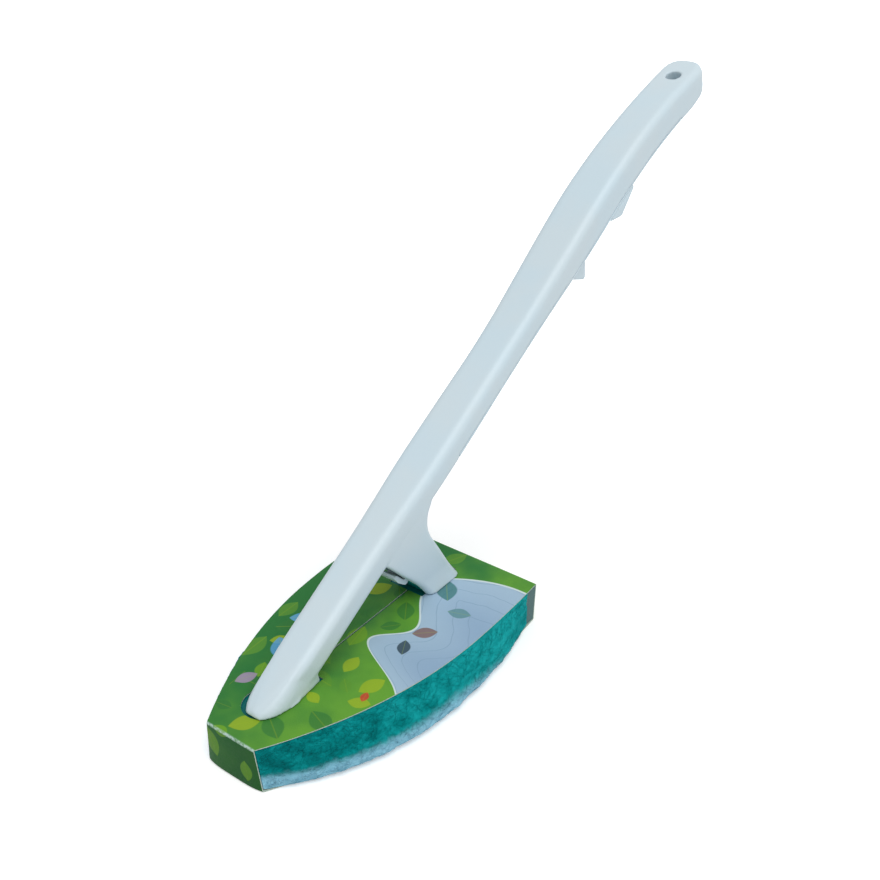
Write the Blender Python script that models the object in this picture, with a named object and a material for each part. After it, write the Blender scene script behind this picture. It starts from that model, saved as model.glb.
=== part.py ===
"""Bathtub brush: a long white handle that clips onto a scrub refill still in its printed card sleeve.

X runs from the nose of the head to the end of the handle, Z is up, and Y = 0 is the plane of symmetry.
The origin is on the underside of the sleeve, midway along the head.
"""

import math

import bmesh
import bpy
from mathutils import Vector

MM = 0.001
GAP = 0.3 * MM

# Head outline, seen from above
HEAD_LENGTH = 165 * MM
NOSE_WIDTH = 28.4 * MM
HEAD_WIDTH = 96.6 * MM
BACK_TAPER = 2.6 * MM
WIDEST_FROM_NOSE = 119 * MM
SIDE_CURVE = 2.12
OUTLINE_STEPS = 20

# Card sleeve, open along both long sides
HEAD_HEIGHT = 23.5 * MM
CARD = 0.6 * MM
NOSE_SPREAD = 2.4 * MM
BACK_SPREAD = -1.5 * MM
EAR_LENGTH = 7.3 * MM
TOE_WINDOW_SHIFT = 2.4 * MM
TOE_WINDOW_RADIUS = 10 * MM
TOE_WINDOW_ROOM = 1 * MM
TOE_WINDOW_LENGTH = 35.2 * MM
LEG_WINDOW_WIDTH = 21 * MM
LEG_WINDOW_SHIFT = 3.5 * MM
LEG_WINDOW_FRONT_ROOM = 4 * MM
SLIT = 0.8 * MM
SLIT_SHIFT = 2 * MM

# Pad: a thick fibre body on a thinner scrub layer, both swelling out of the sleeve's open sides
PAD_BULGE = 11 * MM
PAD_BULGE_BACK = 3.3 * MM
PAD_BULGE_PEAK = 0.58
SCRUB_AT_NOSE = 9.2 * MM
SCRUB_AT_BACK = 13.6 * MM
BULGE_HEIGHT = 4 * MM
BULGE_TUCK = 0.35

# Carrier plate: a shallow tray let into the pad
PLATE_DEPTH = 6 * MM
PLATE_SKIN = 1.8 * MM
PLATE_INSET = 13 * MM
RIB = 1.6 * MM
RIB_COUNT = 3

# Handle: distances run along its top line from the toe
TOE_FROM_NOSE = 14 * MM
TOE_LIFT = 2.5 * MM
HANDLE_LENGTH = 424 * MM
STALK_ANGLE = math.radians(30.2)
GRIP_ANGLE = math.radians(34.6)
END_ANGLE = math.radians(14)
END_CURL = 0.9
STALK_END = 190 * MM
GRIP_START = 245 * MM
GRIP_CROWN = 290 * MM
STALK_WIDTH = 19.6 * MM
NECK_WIDTH = 22.8 * MM
NECK_AT = 142 * MM
NECK_REACH = 34 * MM
WAIST_WIDTH = 21.6 * MM
WAIST_AT = 188 * MM
GRIP_WIDTH = 25.2 * MM
GRIP_AT = 300 * MM
KNOB_WIDTH = 23.2 * MM
KNOB_AT = 388 * MM
STALK_DEPTH = 15.4 * MM
DEPTH_CHANGE_AT = 215 * MM
GRIP_DEPTH = 19.8 * MM
KNOB_DEPTH = 19.8 * MM
EDGE_RADIUS = 4.2 * MM
BOW_LENGTH = 36 * MM
BOW_CURVE = 2.3
BOW_TIP = 0.4
TIP_ROUND = 1.5 * MM
TIP_CORNER = 0.25
FLARE = 9 * MM
FLARE_LENGTH = 21 * MM
END_ROUND = 11.6 * MM
END_TOP_LENGTH = 6 * MM
END_TOP_DROP = 3.4 * MM
END_UNDER_LENGTH = 24 * MM
END_UNDER_RISE = 11.5 * MM
WALL = 2 * MM
CAVITY_START = 22 * MM
HANG_HOLE_RADIUS = 4.2 * MM
HANG_HOLE_FROM_END = 20 * MM
HOLE_RIM = 7 * MM
STATION_SPACING = 9 * MM
CAVITY_SPACING = 22 * MM
FOOT_LENGTH = 35 * MM
FOOT_WIDTH = 19.6 * MM
FOOT_TAPER = 1.4 * MM
FOOT_BOW = 13 * MM
FOOT_TIP = 0.14
FOOT_HEEL_ROUND = 1.5 * MM
FOOT_HEIGHT = 12 * MM
FOOT_DRAFT = 0.14
FOOT_LEVELS = 4
FOOT_HEEL_SLOPE = 0.3

# Rear leg, open at the front where the plate's tongue stands in it
LEG_FRONT_FROM_NOSE = 127.5 * MM
LEG_FOOT_LENGTH = 22 * MM
LEG_WIDTH = 19.8 * MM
LEG_FLARE = 1.6 * MM
LEG_FLARE_HEIGHT = 10 * MM
LEG_FLARE_CURVE = 1.5
LEG_FRONT_ANGLE = math.radians(48.4)
LEG_FRONT_HEIGHT = 36 * MM
LEG_REAR_ANGLE = math.radians(58.6)
LEG_NECK_START = 33 * MM
LEG_NECK_RADIUS = 16.4 * MM
LEG_NECK_TOP = 54 * MM
LEG_EDGE = 3.4 * MM
LEG_TOP_EDGE = 0.8 * MM
LEG_FLUSH = 0.1 * MM
LEG_LEVELS = 14
LEG_OPEN_WIDTH = 13.6 * MM
LEG_OPEN_HEIGHT = 12.4 * MM

# Plugs under the toe and the leg, which drop into the plate's sockets
PLUG_DEPTH = 4.6 * MM
TOE_PLUG_LENGTH = 14 * MM
TOE_PLUG_WIDTH = 10 * MM
TOE_PLUG_FROM_TIP = 7 * MM
LEG_PLUG_LENGTH = 13 * MM
LEG_PLUG_FROM_FRONT = 5.4 * MM
LEG_PLUG_WIDTH = 13 * MM
PLUG_WALL = 1.5 * MM
SOCKET_ROOM = 0.5 * MM

# Catch tongue: it stands up from the plate inside the leg, and its hook holds the leg's cross bar
TONGUE = 1.8 * MM
TONGUE_WIDTH = 12.4 * MM
TONGUE_SETBACK = 0.6 * MM
TONGUE_FOOT = 8 * MM
HOOK_TOP = 10.5 * MM
HOOK_HEIGHT = 2.2 * MM
BAR_HEIGHT = 2.4 * MM
BAR_DEPTH = 2.6 * MM

# Release rocker: a curled pull tab in the leg's front, a pivot eye and an arm down to the hook
ROCKER_WIDTH = 11 * MM
ROCKER_ARM = 2.2 * MM
PIVOT_HEIGHT = 20.2 * MM
PIVOT_BEHIND_HOOK = 2.2 * MM
TAB_LOW = 18 * MM
TAB_HEIGHT = 12 * MM
TAB_OUT = 3.2 * MM
TAB_THICK = 2.4 * MM
TAB_ROOT = 3 * MM
SLOT_ROOM = 0.5 * MM
SLOT_HEIGHT = 29 * MM
PIN_RADIUS = 1.5 * MM
PIN_SKIN = 1 * MM
EYE_WALL = 1.5 * MM

# Torsion spring on the rocker's pin
SPRING_RADIUS = 2.3 * MM
SPRING_WIRE = 0.6 * MM
SPRING_TURNS = 2
SPRING_ARM = 6 * MM

# Grip cover, the underside of the handle behind the leg, with its two finger steps
COVER_DEPTH = 3.4 * MM
COVER_START = 152 * MM
COVER_END_BEFORE_HOLE = 14 * MM
LOWER_STEP_AT = 272.5 * MM
LOWER_STEP_HEIGHT = 10 * MM
LOWER_STEP_FRONT = 8.8 * MM
LOWER_STEP_REAR = 7 * MM
LOWER_STEP_WIDTH = 19 * MM
LOWER_STEP_EDGE = 0.8 * MM
UPPER_STEP_AT = 315 * MM
UPPER_STEP_HEIGHT = 5.2 * MM
UPPER_STEP_FRONT = 9.6 * MM
UPPER_STEP_REAR = 17 * MM
UPPER_STEP_EDGE = 1.4 * MM
STEP_INSET = 0.6 * MM
STEP_TIP = 1.8 * MM

# Places that follow from the sizes
BACK_WIDTH = HEAD_WIDTH - BACK_TAPER
NOSE_X = -HEAD_LENGTH / 2
BACK_X = HEAD_LENGTH / 2
CARD_TOP = HEAD_HEIGHT - CARD
DECK = HEAD_HEIGHT + GAP
PLATE_TOP = CARD_TOP - GAP
PLATE_BOTTOM = PLATE_TOP - PLATE_DEPTH
TOE_X = NOSE_X + TOE_FROM_NOSE
LEG_FRONT_X = NOSE_X + LEG_FRONT_FROM_NOSE
LEG_REAR_X = LEG_FRONT_X + LEG_FOOT_LENGTH
FACE = Vector((-math.cos(LEG_FRONT_ANGLE), 0, math.sin(LEG_FRONT_ANGLE)))
OUT = Vector((-math.sin(LEG_FRONT_ANGLE), 0, -math.cos(LEG_FRONT_ANGLE)))
TONGUE_BACK = (TONGUE_SETBACK + TONGUE) / math.sin(LEG_FRONT_ANGLE)
BAR_TOP = DECK + HOOK_TOP - HOOK_HEIGHT - GAP
HOOK_X = LEG_FRONT_X - (BAR_TOP - DECK) / math.tan(LEG_FRONT_ANGLE) + TONGUE_BACK + SLOT_ROOM + BAR_DEPTH
PIVOT = Vector((HOOK_X + PIVOT_BEHIND_HOOK, 0, DECK + PIVOT_HEIGHT))
LEG_PLUG_X = LEG_FRONT_X + LEG_PLUG_FROM_FRONT
HOLE_AT = HANDLE_LENGTH - HANG_HOLE_FROM_END
CAVITY_END = HOLE_AT - HANG_HOLE_RADIUS - HOLE_RIM
COVER_END = HOLE_AT - COVER_END_BEFORE_HOLE

for old in list(bpy.data.objects):
    bpy.data.objects.remove(old)
brush = bpy.data.collections.new("bathtub_brush")
cutters = bpy.data.collections.new("cutters")
for collection in (brush, cutters):
    bpy.context.scene.collection.children.link(collection)


def material(name, color, roughness):
    """One Principled material."""
    made = bpy.data.materials.new(name)
    made.use_nodes = True
    shader = made.node_tree.nodes["Principled BSDF"]
    shader.inputs["Base Color"].default_value = (*color, 1)
    shader.inputs["Roughness"].default_value = roughness
    return made


white_plastic = material("white_plastic", (0.6, 0.71, 0.76), 0.4)
teal_plastic = material("teal_plastic", (0.0, 0.17, 0.18), 0.45)
teal_fibre = material("teal_fibre", (0.0, 0.25, 0.25), 0.9)
pale_fibre = material("pale_fibre", (0.25, 0.43, 0.5), 0.9)
green_card = material("green_card", (0.13, 0.35, 0.07), 0.5)
spring_steel = material("spring_steel", (0.55, 0.55, 0.57), 0.3)
spring_steel.node_tree.nodes["Principled BSDF"].inputs["Metallic"].default_value = 1


def mesh_object(name, bm, collection=cutters):
    """An object of this bmesh, with its faces turned out."""
    bmesh.ops.recalc_face_normals(bm, faces=bm.faces)
    mesh = bpy.data.meshes.new(name)
    bm.to_mesh(mesh)
    bm.free()
    made = bpy.data.objects.new(name, mesh)
    collection.objects.link(made)
    if collection is cutters:
        made.hide_render = True
        made.display_type = "WIRE"
    return made


def boolean(target, tool, operation="DIFFERENCE"):
    """Cuts, joins or intersects with the EXACT solver, at once, so that later steps see the result."""
    modifier = target.modifiers.new(operation.lower(), "BOOLEAN")
    modifier.object = tool
    modifier.operation = operation
    modifier.solver = "EXACT"
    bpy.context.view_layer.update()
    graph = bpy.context.evaluated_depsgraph_get()
    mesh = bpy.data.meshes.new_from_object(target.evaluated_get(graph))
    target.modifiers.clear()
    target.data = mesh


def finish(made, name, look, smooth_angle=35):
    """Names a finished piece, gives it its material and smooths it up to its sharp edges."""
    cutters.objects.unlink(made)
    brush.objects.link(made)
    made.hide_render = False
    made.display_type = "TEXTURED"
    made.name = name
    made.data.name = name
    made.data.materials.clear()
    made.data.materials.append(look)
    made.data.shade_smooth()
    made.data.set_sharp_from_angle(angle=math.radians(smooth_angle))
    return made


def set_origin(made, point):
    """Puts the object's origin at a point and leaves its shape where it is."""
    for vertex in made.data.vertices:
        vertex.co -= point
    made.location = point


def box(name, low, high):
    """A box between two corners."""
    bm = bmesh.new()
    bmesh.ops.create_cube(bm, size=1)
    for vertex in bm.verts:
        vertex.co = Vector(
            low[axis] + (vertex.co[axis] + 0.5) * (high[axis] - low[axis])
            for axis in range(3)
        )
    return mesh_object(name, bm)


def cylinder(name, centre, axis, radius, length, sides=24):
    """A closed cylinder about a centre, along an axis."""
    bm = bmesh.new()
    bmesh.ops.create_cone(
        bm, cap_ends=True, segments=sides, radius1=radius, radius2=radius, depth=length
    )
    turn = Vector((0, 0, 1)).rotation_difference(Vector(axis)).to_matrix()
    for vertex in bm.verts:
        vertex.co = turn @ vertex.co + Vector(centre)
    return mesh_object(name, bm)


def side_plate(name, profile, half_width, edge=0.0):
    """A side profile in X and Z, as thick as twice the half width, with its rim rounded by edge."""
    bm = bmesh.new()
    ring = [bm.verts.new((x, -half_width, z)) for x, z in profile]
    face = bm.faces.new(ring)
    moved = bmesh.ops.extrude_face_region(bm, geom=[face])["geom"]
    for item in moved:
        if isinstance(item, bmesh.types.BMVert):
            item.co.y = half_width
    if edge > 0:
        rim = [e for e in bm.edges if abs(e.verts[0].co.y - e.verts[1].co.y) < 1e-7]
        bmesh.ops.bevel(
            bm, geom=rim, offset=edge, segments=4, profile=0.5, affect="EDGES", clamp_overlap=True
        )
    return mesh_object(name, bm)


def loft(name, rings):
    """Skins a row of rings that have like numbers of points, and closes both ends."""
    bm = bmesh.new()
    made = [[bm.verts.new(point) for point in ring] for ring in rings]
    count = len(made[0])
    for low, high in zip(made, made[1:]):
        for i in range(count):
            j = (i + 1) % count
            bm.faces.new((low[i], low[j], high[j], high[i]))
    bm.faces.new(made[0])
    bm.faces.new(made[-1])
    return mesh_object(name, bm)


def ease(value, low, high):
    """0 below low, 1 above high, and a smooth rise between."""
    share = min(max((value - low) / (high - low), 0), 1)
    return share * share * (3 - 2 * share)


def head_half_width(share):
    """Half width of the sleeve's top, from the nose at 0 to the back at 1."""
    widest = WIDEST_FROM_NOSE / HEAD_LENGTH
    if share < widest:
        rise = 1 - (1 - share / widest) ** SIDE_CURVE
        return (NOSE_WIDTH + (HEAD_WIDTH - NOSE_WIDTH) * rise) / 2
    fall = ((share - widest) / (1 - widest)) ** 2
    return (HEAD_WIDTH + (BACK_WIDTH - HEAD_WIDTH) * fall) / 2


def bottom_spread(share):
    """How much wider the sleeve's bottom is than its top, at each side."""
    return NOSE_SPREAD + (BACK_SPREAD - NOSE_SPREAD) * share


def ear_flap(name, room):
    """Two lofted slabs at the sides of the back: the sleeve's ears, or with room the cut for them."""
    made = []
    for side in (-1, 1):
        rings = []
        for height, low in ((CARD / 2 - 2 * room, 1), (CARD_TOP + CARD / 2 + 2 * room, 0)):
            outer = BACK_WIDTH / 2 + BACK_SPREAD * low + (PAD_BULGE if room else 0)
            inner = BACK_WIDTH / 2 + BACK_SPREAD * low - CARD - room
            front = BACK_X - EAR_LENGTH - room
            back = BACK_X - CARD / 2 + 2 * room
            rings.append([Vector((x, side * y, height))
                          for x, y in ((front, inner), (front, outer), (back, outer), (back, inner))])
        made.append(loft(name, rings))
    return made


def head_ring(height, front_x, back_x, grow):
    """The head's outline at a height, from front_x to back_x, with grow(share) added at each side."""
    near = []
    for i in range(OUTLINE_STEPS + 1):
        x = front_x + (back_x - front_x) * (1 - math.cos(math.pi * i / OUTLINE_STEPS)) / 2
        share = (x - NOSE_X) / HEAD_LENGTH
        z = height(share) if callable(height) else height
        near.append(Vector((x, -head_half_width(share) - grow(share), z)))
    far = [Vector((p.x, -p.y, p.z)) for p in reversed(near)]
    return near + far


def pad_side(share, height):
    """How far the pad stands out past the sleeve's top edge."""
    swell = math.sin(math.pi * min(max(share, 0), 1) ** PAD_BULGE_PEAK) ** 1.5
    most = PAD_BULGE_BACK + (PAD_BULGE - PAD_BULGE_BACK) * swell
    if height > BULGE_HEIGHT:
        down = (CARD_TOP - height) / (CARD_TOP - BULGE_HEIGHT)
        return most * (down + math.sin(math.pi / 2 * down)) / 2 - GAP
    tuck = (BULGE_HEIGHT - height) / (BULGE_HEIGHT - CARD)
    return most * (1 - BULGE_TUCK * tuck * tuck) - GAP


def scrub_top(share):
    """Height of the line between the scrub layer and the fibre body."""
    return SCRUB_AT_NOSE + (SCRUB_AT_BACK - SCRUB_AT_NOSE) * share


def pad_layer(name, bottom, top, levels):
    """One layer of the pad between two heights, each a function of the share of the length."""
    rings = []
    for i in range(levels + 1):
        level = i / levels

        def height(share, level=level):
            return bottom(share) + (top(share) - bottom(share)) * level

        rings.append(
            head_ring(
                height,
                NOSE_X + CARD + GAP,
                BACK_X - CARD - GAP,
                lambda share, height=height: pad_side(share, height(share)),
            )
        )
    return loft(name, rings)


def spine_angle(along):
    """Slope of the handle's top line."""
    if along < GRIP_CROWN:
        return STALK_ANGLE + (GRIP_ANGLE - STALK_ANGLE) * ease(along, STALK_END, GRIP_START)
    share = (along - GRIP_CROWN) / (HANDLE_LENGTH - GRIP_CROWN)
    return GRIP_ANGLE + (END_ANGLE - GRIP_ANGLE) * share ** END_CURL


def spine(along):
    """Point on the handle's top line, and its direction."""
    steps = 60
    x, z = TOE_X, DECK + TOE_LIFT
    for i in range(steps):
        angle = spine_angle(along * (i + 0.5) / steps)
        x += math.cos(angle) * along / steps
        z += math.sin(angle) * along / steps
    return Vector((x, 0, z)), spine_angle(along)


def handle_half_width(along):
    """Half width of the handle's top, with its pointed bow at the toe and its round end."""
    neck = math.exp(-(((along - NECK_AT) / NECK_REACH) ** 2)) * (NECK_WIDTH - STALK_WIDTH)
    width = STALK_WIDTH + neck
    width += (WAIST_WIDTH - STALK_WIDTH) * ease(along, NECK_AT, WAIST_AT) * ease(-along, -GRIP_AT, -WAIST_AT)
    width += (GRIP_WIDTH - STALK_WIDTH) * ease(along, WAIST_AT, GRIP_AT)
    width += (KNOB_WIDTH - GRIP_WIDTH) * ease(along, GRIP_AT, KNOB_AT)
    bow = 1 - (1 - BOW_TIP) * max(0, 1 - along / BOW_LENGTH) ** BOW_CURVE
    bow *= 1 - TIP_CORNER * max(0, 1 - along / TIP_ROUND) ** 2
    end = 1 - max(0, 1 - (HANDLE_LENGTH - along) / END_ROUND) ** 2
    return width / 2 * bow * math.sqrt(max(end, 0.02))


def toe_flare(along):
    """How much wider the handle is at its underside than at its top, over the toe."""
    return FLARE * max(0, 1 - along / FLARE_LENGTH)


def handle_depth(along):
    """Depth of the handle, square to its top line."""
    depth = STALK_DEPTH + (GRIP_DEPTH - STALK_DEPTH) * ease(along, DEPTH_CHANGE_AT, GRIP_AT)
    return depth + (KNOB_DEPTH - GRIP_DEPTH) * ease(along, GRIP_AT, KNOB_AT)


def end_turn(along, length, height):
    """How far a surface has turned in, over the last length of the handle, on its way to the end."""
    share = max(0, 1 - (HANDLE_LENGTH - along) / length)
    return height * (1 - math.sqrt(1 - min(share, 1) ** 2))


def end_top(along):
    """Depth of the top surface under the top line."""
    return end_turn(along, END_TOP_LENGTH, END_TOP_DROP)


def end_under(along):
    """Depth of the underside under the top line."""
    return handle_depth(along) - end_turn(along, END_UNDER_LENGTH, END_UNDER_RISE)


def section_ring(along, half_width, top, bottom, radius, corner_steps=4):
    """A section square to the top line, with rounded corners, between two depths, flared at the toe."""
    flare = toe_flare(along)
    start, angle = spine(along)
    down = Vector((math.sin(angle), 0, -math.cos(angle)))
    radius = min(radius, half_width * 0.95, (bottom - top) * 0.48)
    middle = (top + bottom) / 2
    ring = []
    for corner, (side, end) in enumerate(((1, -1), (1, 1), (-1, 1), (-1, -1))):
        centre_y = side * (half_width - radius + (flare if end > 0 else 0))
        centre_d = middle + end * ((bottom - top) / 2 - radius)
        first = (-math.pi / 2, 0, math.pi / 2, math.pi)[corner]
        for i in range(corner_steps + 1):
            turn = first + math.pi / 2 * i / corner_steps
            y = centre_y + radius * math.cos(turn)
            d = centre_d + radius * math.sin(turn)
            ring.append(start + down * d + Vector((0, y, 0)))
    return ring


def handle_stations(start, end, spacing, fine=0.0, rounds=5):
    """Distances along the handle, closer together over fine at each end."""
    inner_start = start + fine
    inner_end = end - fine
    count = max(2, round((inner_end - inner_start) / spacing))
    stations = [inner_start + (inner_end - inner_start) * i / count for i in range(count + 1)]
    if fine > 0:
        before = [start + fine * (1 - math.cos(math.pi / 2 * i / rounds)) for i in range(rounds)]
        after = [start + end - along for along in reversed(before)]
        stations = before + stations + after
    return stations


def handle_loft(name, stations, inset, top, bottom, radius, corner_steps=4):
    """A length of the handle: inset from its sides, between two depths."""
    rings = []
    for along in stations:
        rings.append(
            section_ring(
                along,
                handle_half_width(along) - inset,
                top(along),
                bottom(along),
                radius,
                corner_steps,
            )
        )
    return loft(name, rings)


def underside(along, extra=0.0):
    """X and Z of a point on the handle's underside, or extra below it."""
    start, angle = spine(along)
    depth = handle_depth(along) + extra
    return (start.x + depth * math.sin(angle), start.z - depth * math.cos(angle))


def stalk_side(x, height):
    """Half width of the stalk's side at a place, less a hair, so that what joins it stays flush."""
    across = height - DECK - TOE_LIFT
    along = max(0, (x - TOE_X) * math.cos(STALK_ANGLE) + across * math.sin(STALK_ANGLE))
    depth = (x - TOE_X) * math.sin(STALK_ANGLE) - across * math.cos(STALK_ANGLE)
    down = min(max((depth - EDGE_RADIUS) / (STALK_DEPTH - 2 * EDGE_RADIUS), 0), 1)
    return handle_half_width(along) + toe_flare(along) * down - LEG_FLUSH


def foot_ring(height):
    """Level section of the boat-shaped foot under the toe, no wider than the stalk's sides."""
    above = height - DECK
    front = TOE_X + max(0, above - TOE_LIFT / 2) / math.tan(STALK_ANGLE)
    rear = TOE_X + FOOT_LENGTH - FOOT_HEEL_SLOPE * above
    half_width = FOOT_WIDTH / 2 + FOOT_DRAFT * above
    near = []
    for i in range(9):
        turn = math.pi / 2 * i / 8
        x = front + FOOT_BOW * (1 - math.cos(turn))
        bow = min(half_width * max(math.sin(turn), FOOT_TIP), stalk_side(x, height))
        near.append(Vector((x, -bow, height)))
    half_width = min(half_width - FOOT_TAPER, stalk_side(rear, height))
    for i in range(5):
        turn = math.pi / 2 * i / 4
        near.append(
            Vector(
                (
                    rear - FOOT_HEEL_ROUND * (1 - math.sin(turn)),
                    -half_width + FOOT_HEEL_ROUND * (1 - math.cos(turn)),
                    height,
                )
            )
        )
    far = [Vector((p.x, -p.y, p.z)) for p in reversed(near)]
    return near + far


def front_line_x(height):
    """X of the leg's front face at a height."""
    return LEG_FRONT_X - (height - DECK) / math.tan(LEG_FRONT_ANGLE)


def rear_line_x(height):
    """X of the leg's rear face at a height: a straight slope, then a round neck into the handle."""
    above = max(0, height - DECK - LEG_NECK_START)
    return LEG_REAR_X - (height - DECK) / math.tan(LEG_REAR_ANGLE) + above ** 2 / (2 * LEG_NECK_RADIUS)


def leg_half_width(x, height):
    """Half width of the leg, which spreads from its foot until it is flush with the stalk."""
    spread = (stalk_side(x, height) - LEG_WIDTH / 2) * ease(height, DECK, DECK + LEG_NECK_START)
    return LEG_WIDTH / 2 + spread + leg_flare(height)


def leg_flare(height):
    """How far the leg's foot spreads at its front and its sides, just above the deck."""
    return LEG_FLARE * max(0, 1 - (height - DECK) / LEG_FLARE_HEIGHT) ** LEG_FLARE_CURVE


def leg_ring(height, inset):
    """Level section of the leg: a rectangle with round corners."""
    apex = DECK + LEG_FRONT_HEIGHT
    front = front_line_x(min(height, apex)) - leg_flare(height) + inset / math.sin(LEG_FRONT_ANGLE)
    front += max(0, height - apex) / math.tan(STALK_ANGLE)
    rear = rear_line_x(height) - inset / math.sin(LEG_REAR_ANGLE)
    edge = LEG_EDGE + (LEG_TOP_EDGE - LEG_EDGE) * ease(height, DECK, DECK + LEG_FRONT_HEIGHT)
    radius = min(max(edge - inset, GAP), (rear - front) * 0.4)
    ring = []
    for corner, (end, side) in enumerate(((1, 1), (-1, 1), (-1, -1), (1, -1))):
        centre_x = rear - radius if end > 0 else front + radius
        for i in range(4):
            turn = math.pi / 2 * (corner + i / 3)
            x = centre_x + radius * math.cos(turn)
            y = side * (leg_half_width(x, height) - inset - radius) + radius * math.sin(turn)
            ring.append(Vector((x, y, height)))
    return ring


def leg_loft(name, inset, foot):
    """The leg from a foot's height up into the handle."""
    top = DECK + LEG_NECK_TOP - inset
    return loft(
        name,
        [leg_ring(foot + (top - foot) * i / LEG_LEVELS, inset) for i in range(LEG_LEVELS + 1)],
    )


def face_point(along, out):
    """X and Z of a point along the leg's front face from the deck, and out from it."""
    point = Vector((LEG_FRONT_X, 0, DECK)) + FACE * along + OUT * out
    return (point.x, point.z)


def step_profile(at, height, front, rear, sink):
    """Side view of a finger step on the underside."""
    return [
        underside(at - front, -sink),
        underside(at - front),
        underside(at - STEP_TIP / 2, height),
        underside(at + STEP_TIP / 2, height),
        underside(at + rear),
        underside(at + rear, -sink),
    ]


def make_card_sleeve():
    """Card folded round the head: top, nose flap, bottom, back flap and two small ears."""
    sleeve = loft(
        "card_sleeve",
        [
            head_ring(0, NOSE_X, BACK_X, bottom_spread),
            head_ring(HEAD_HEIGHT, NOSE_X, BACK_X, lambda share: 0),
        ],
    )
    reach = HEAD_WIDTH / 2 + NOSE_SPREAD + PAD_BULGE
    inside = box("inside", (NOSE_X + CARD, -reach, CARD), (BACK_X - CARD, reach, CARD_TOP))
    boolean(sleeve, inside)
    for ear in ear_flap("ear", 0):
        boolean(sleeve, ear, "UNION")
    toe_centre = (TOE_X + TOE_WINDOW_RADIUS - TOE_WINDOW_ROOM, TOE_WINDOW_SHIFT, HEAD_HEIGHT)
    round_front = cylinder("toe_window", toe_centre, (0, 0, 1), TOE_WINDOW_RADIUS, 4 * CARD, 32)
    boolean(sleeve, round_front)
    toe_back = TOE_X + TOE_WINDOW_LENGTH
    straight = box(
        "toe_window_back",
        (toe_centre[0], TOE_WINDOW_SHIFT - TOE_WINDOW_RADIUS, CARD_TOP - CARD),
        (toe_back, TOE_WINDOW_SHIFT + TOE_WINDOW_RADIUS, HEAD_HEIGHT + CARD),
    )
    boolean(sleeve, straight)
    leg_window = box(
        "leg_window",
        (LEG_FRONT_X - LEG_WINDOW_FRONT_ROOM, LEG_WINDOW_SHIFT - LEG_WINDOW_WIDTH / 2, CARD_TOP - CARD),
        (
            LEG_PLUG_X + LEG_PLUG_LENGTH + SOCKET_ROOM,
            LEG_WINDOW_SHIFT + LEG_WINDOW_WIDTH / 2,
            HEAD_HEIGHT + CARD,
        ),
    )
    boolean(sleeve, leg_window)
    slit = box(
        "slit",
        (toe_back - CARD, SLIT_SHIFT - SLIT / 2, CARD_TOP - CARD),
        (LEG_FRONT_X - LEG_WINDOW_FRONT_ROOM + CARD, SLIT_SHIFT + SLIT / 2, HEAD_HEIGHT + CARD),
    )
    boolean(sleeve, slit)
    return finish(sleeve, "card_sleeve", green_card)


def plate_ring(height, inset):
    """The carrier plate's outline at a height."""
    return head_ring(height, NOSE_X + inset, BACK_X - inset, lambda share: -inset)


def socket_box(name, front_x, length, width, low, high):
    """A box about a plug, with the sockets' room all round."""
    return box(
        name,
        (front_x - SOCKET_ROOM, -width / 2 - SOCKET_ROOM, low),
        (front_x + length + SOCKET_ROOM, width / 2 + SOCKET_ROOM, high),
    )


def make_carrier_plate():
    """Moulded tray: a top skin with a rim, cross ribs and the two sockets."""
    plate = loft("carrier_plate", [plate_ring(PLATE_BOTTOM, PLATE_INSET), plate_ring(PLATE_TOP, PLATE_INSET)])
    hollow = loft(
        "tray",
        [
            plate_ring(PLATE_BOTTOM - PLATE_SKIN, PLATE_INSET + RIB),
            plate_ring(PLATE_TOP - PLATE_SKIN, PLATE_INSET + RIB),
        ],
    )
    toe_back = TOE_X + TOE_PLUG_FROM_TIP + TOE_PLUG_LENGTH + SOCKET_ROOM
    leg_front = tongue_x(DECK, 0) - TONGUE_FOOT - GAP
    for i in range(RIB_COUNT):
        x = toe_back + (leg_front - toe_back) * (i + 0.5) / RIB_COUNT
        rib = box("rib", (x, -HEAD_WIDTH, PLATE_BOTTOM), (x + RIB, HEAD_WIDTH, PLATE_TOP - PLATE_SKIN))
        boolean(hollow, rib)
    boolean(plate, hollow)
    toe_socket = socket_box(
        "toe_socket", TOE_X + TOE_PLUG_FROM_TIP, TOE_PLUG_LENGTH, TOE_PLUG_WIDTH, PLATE_BOTTOM, DECK
    )
    boolean(plate, toe_socket)
    front = tongue_x(DECK, 0)
    leg_socket = socket_box(
        "leg_socket", front, LEG_PLUG_X + LEG_PLUG_LENGTH - front, LEG_PLUG_WIDTH, PLATE_BOTTOM, DECK
    )
    boolean(plate, leg_socket)
    return finish(plate, "carrier_plate", teal_plastic)


def tongue_x(height, depth):
    """X of the tongue at a height, depth behind its front. Below the deck it stands upright."""
    return front_line_x(max(height, DECK)) + (TONGUE_SETBACK + depth) / math.sin(LEG_FRONT_ANGLE)


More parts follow.
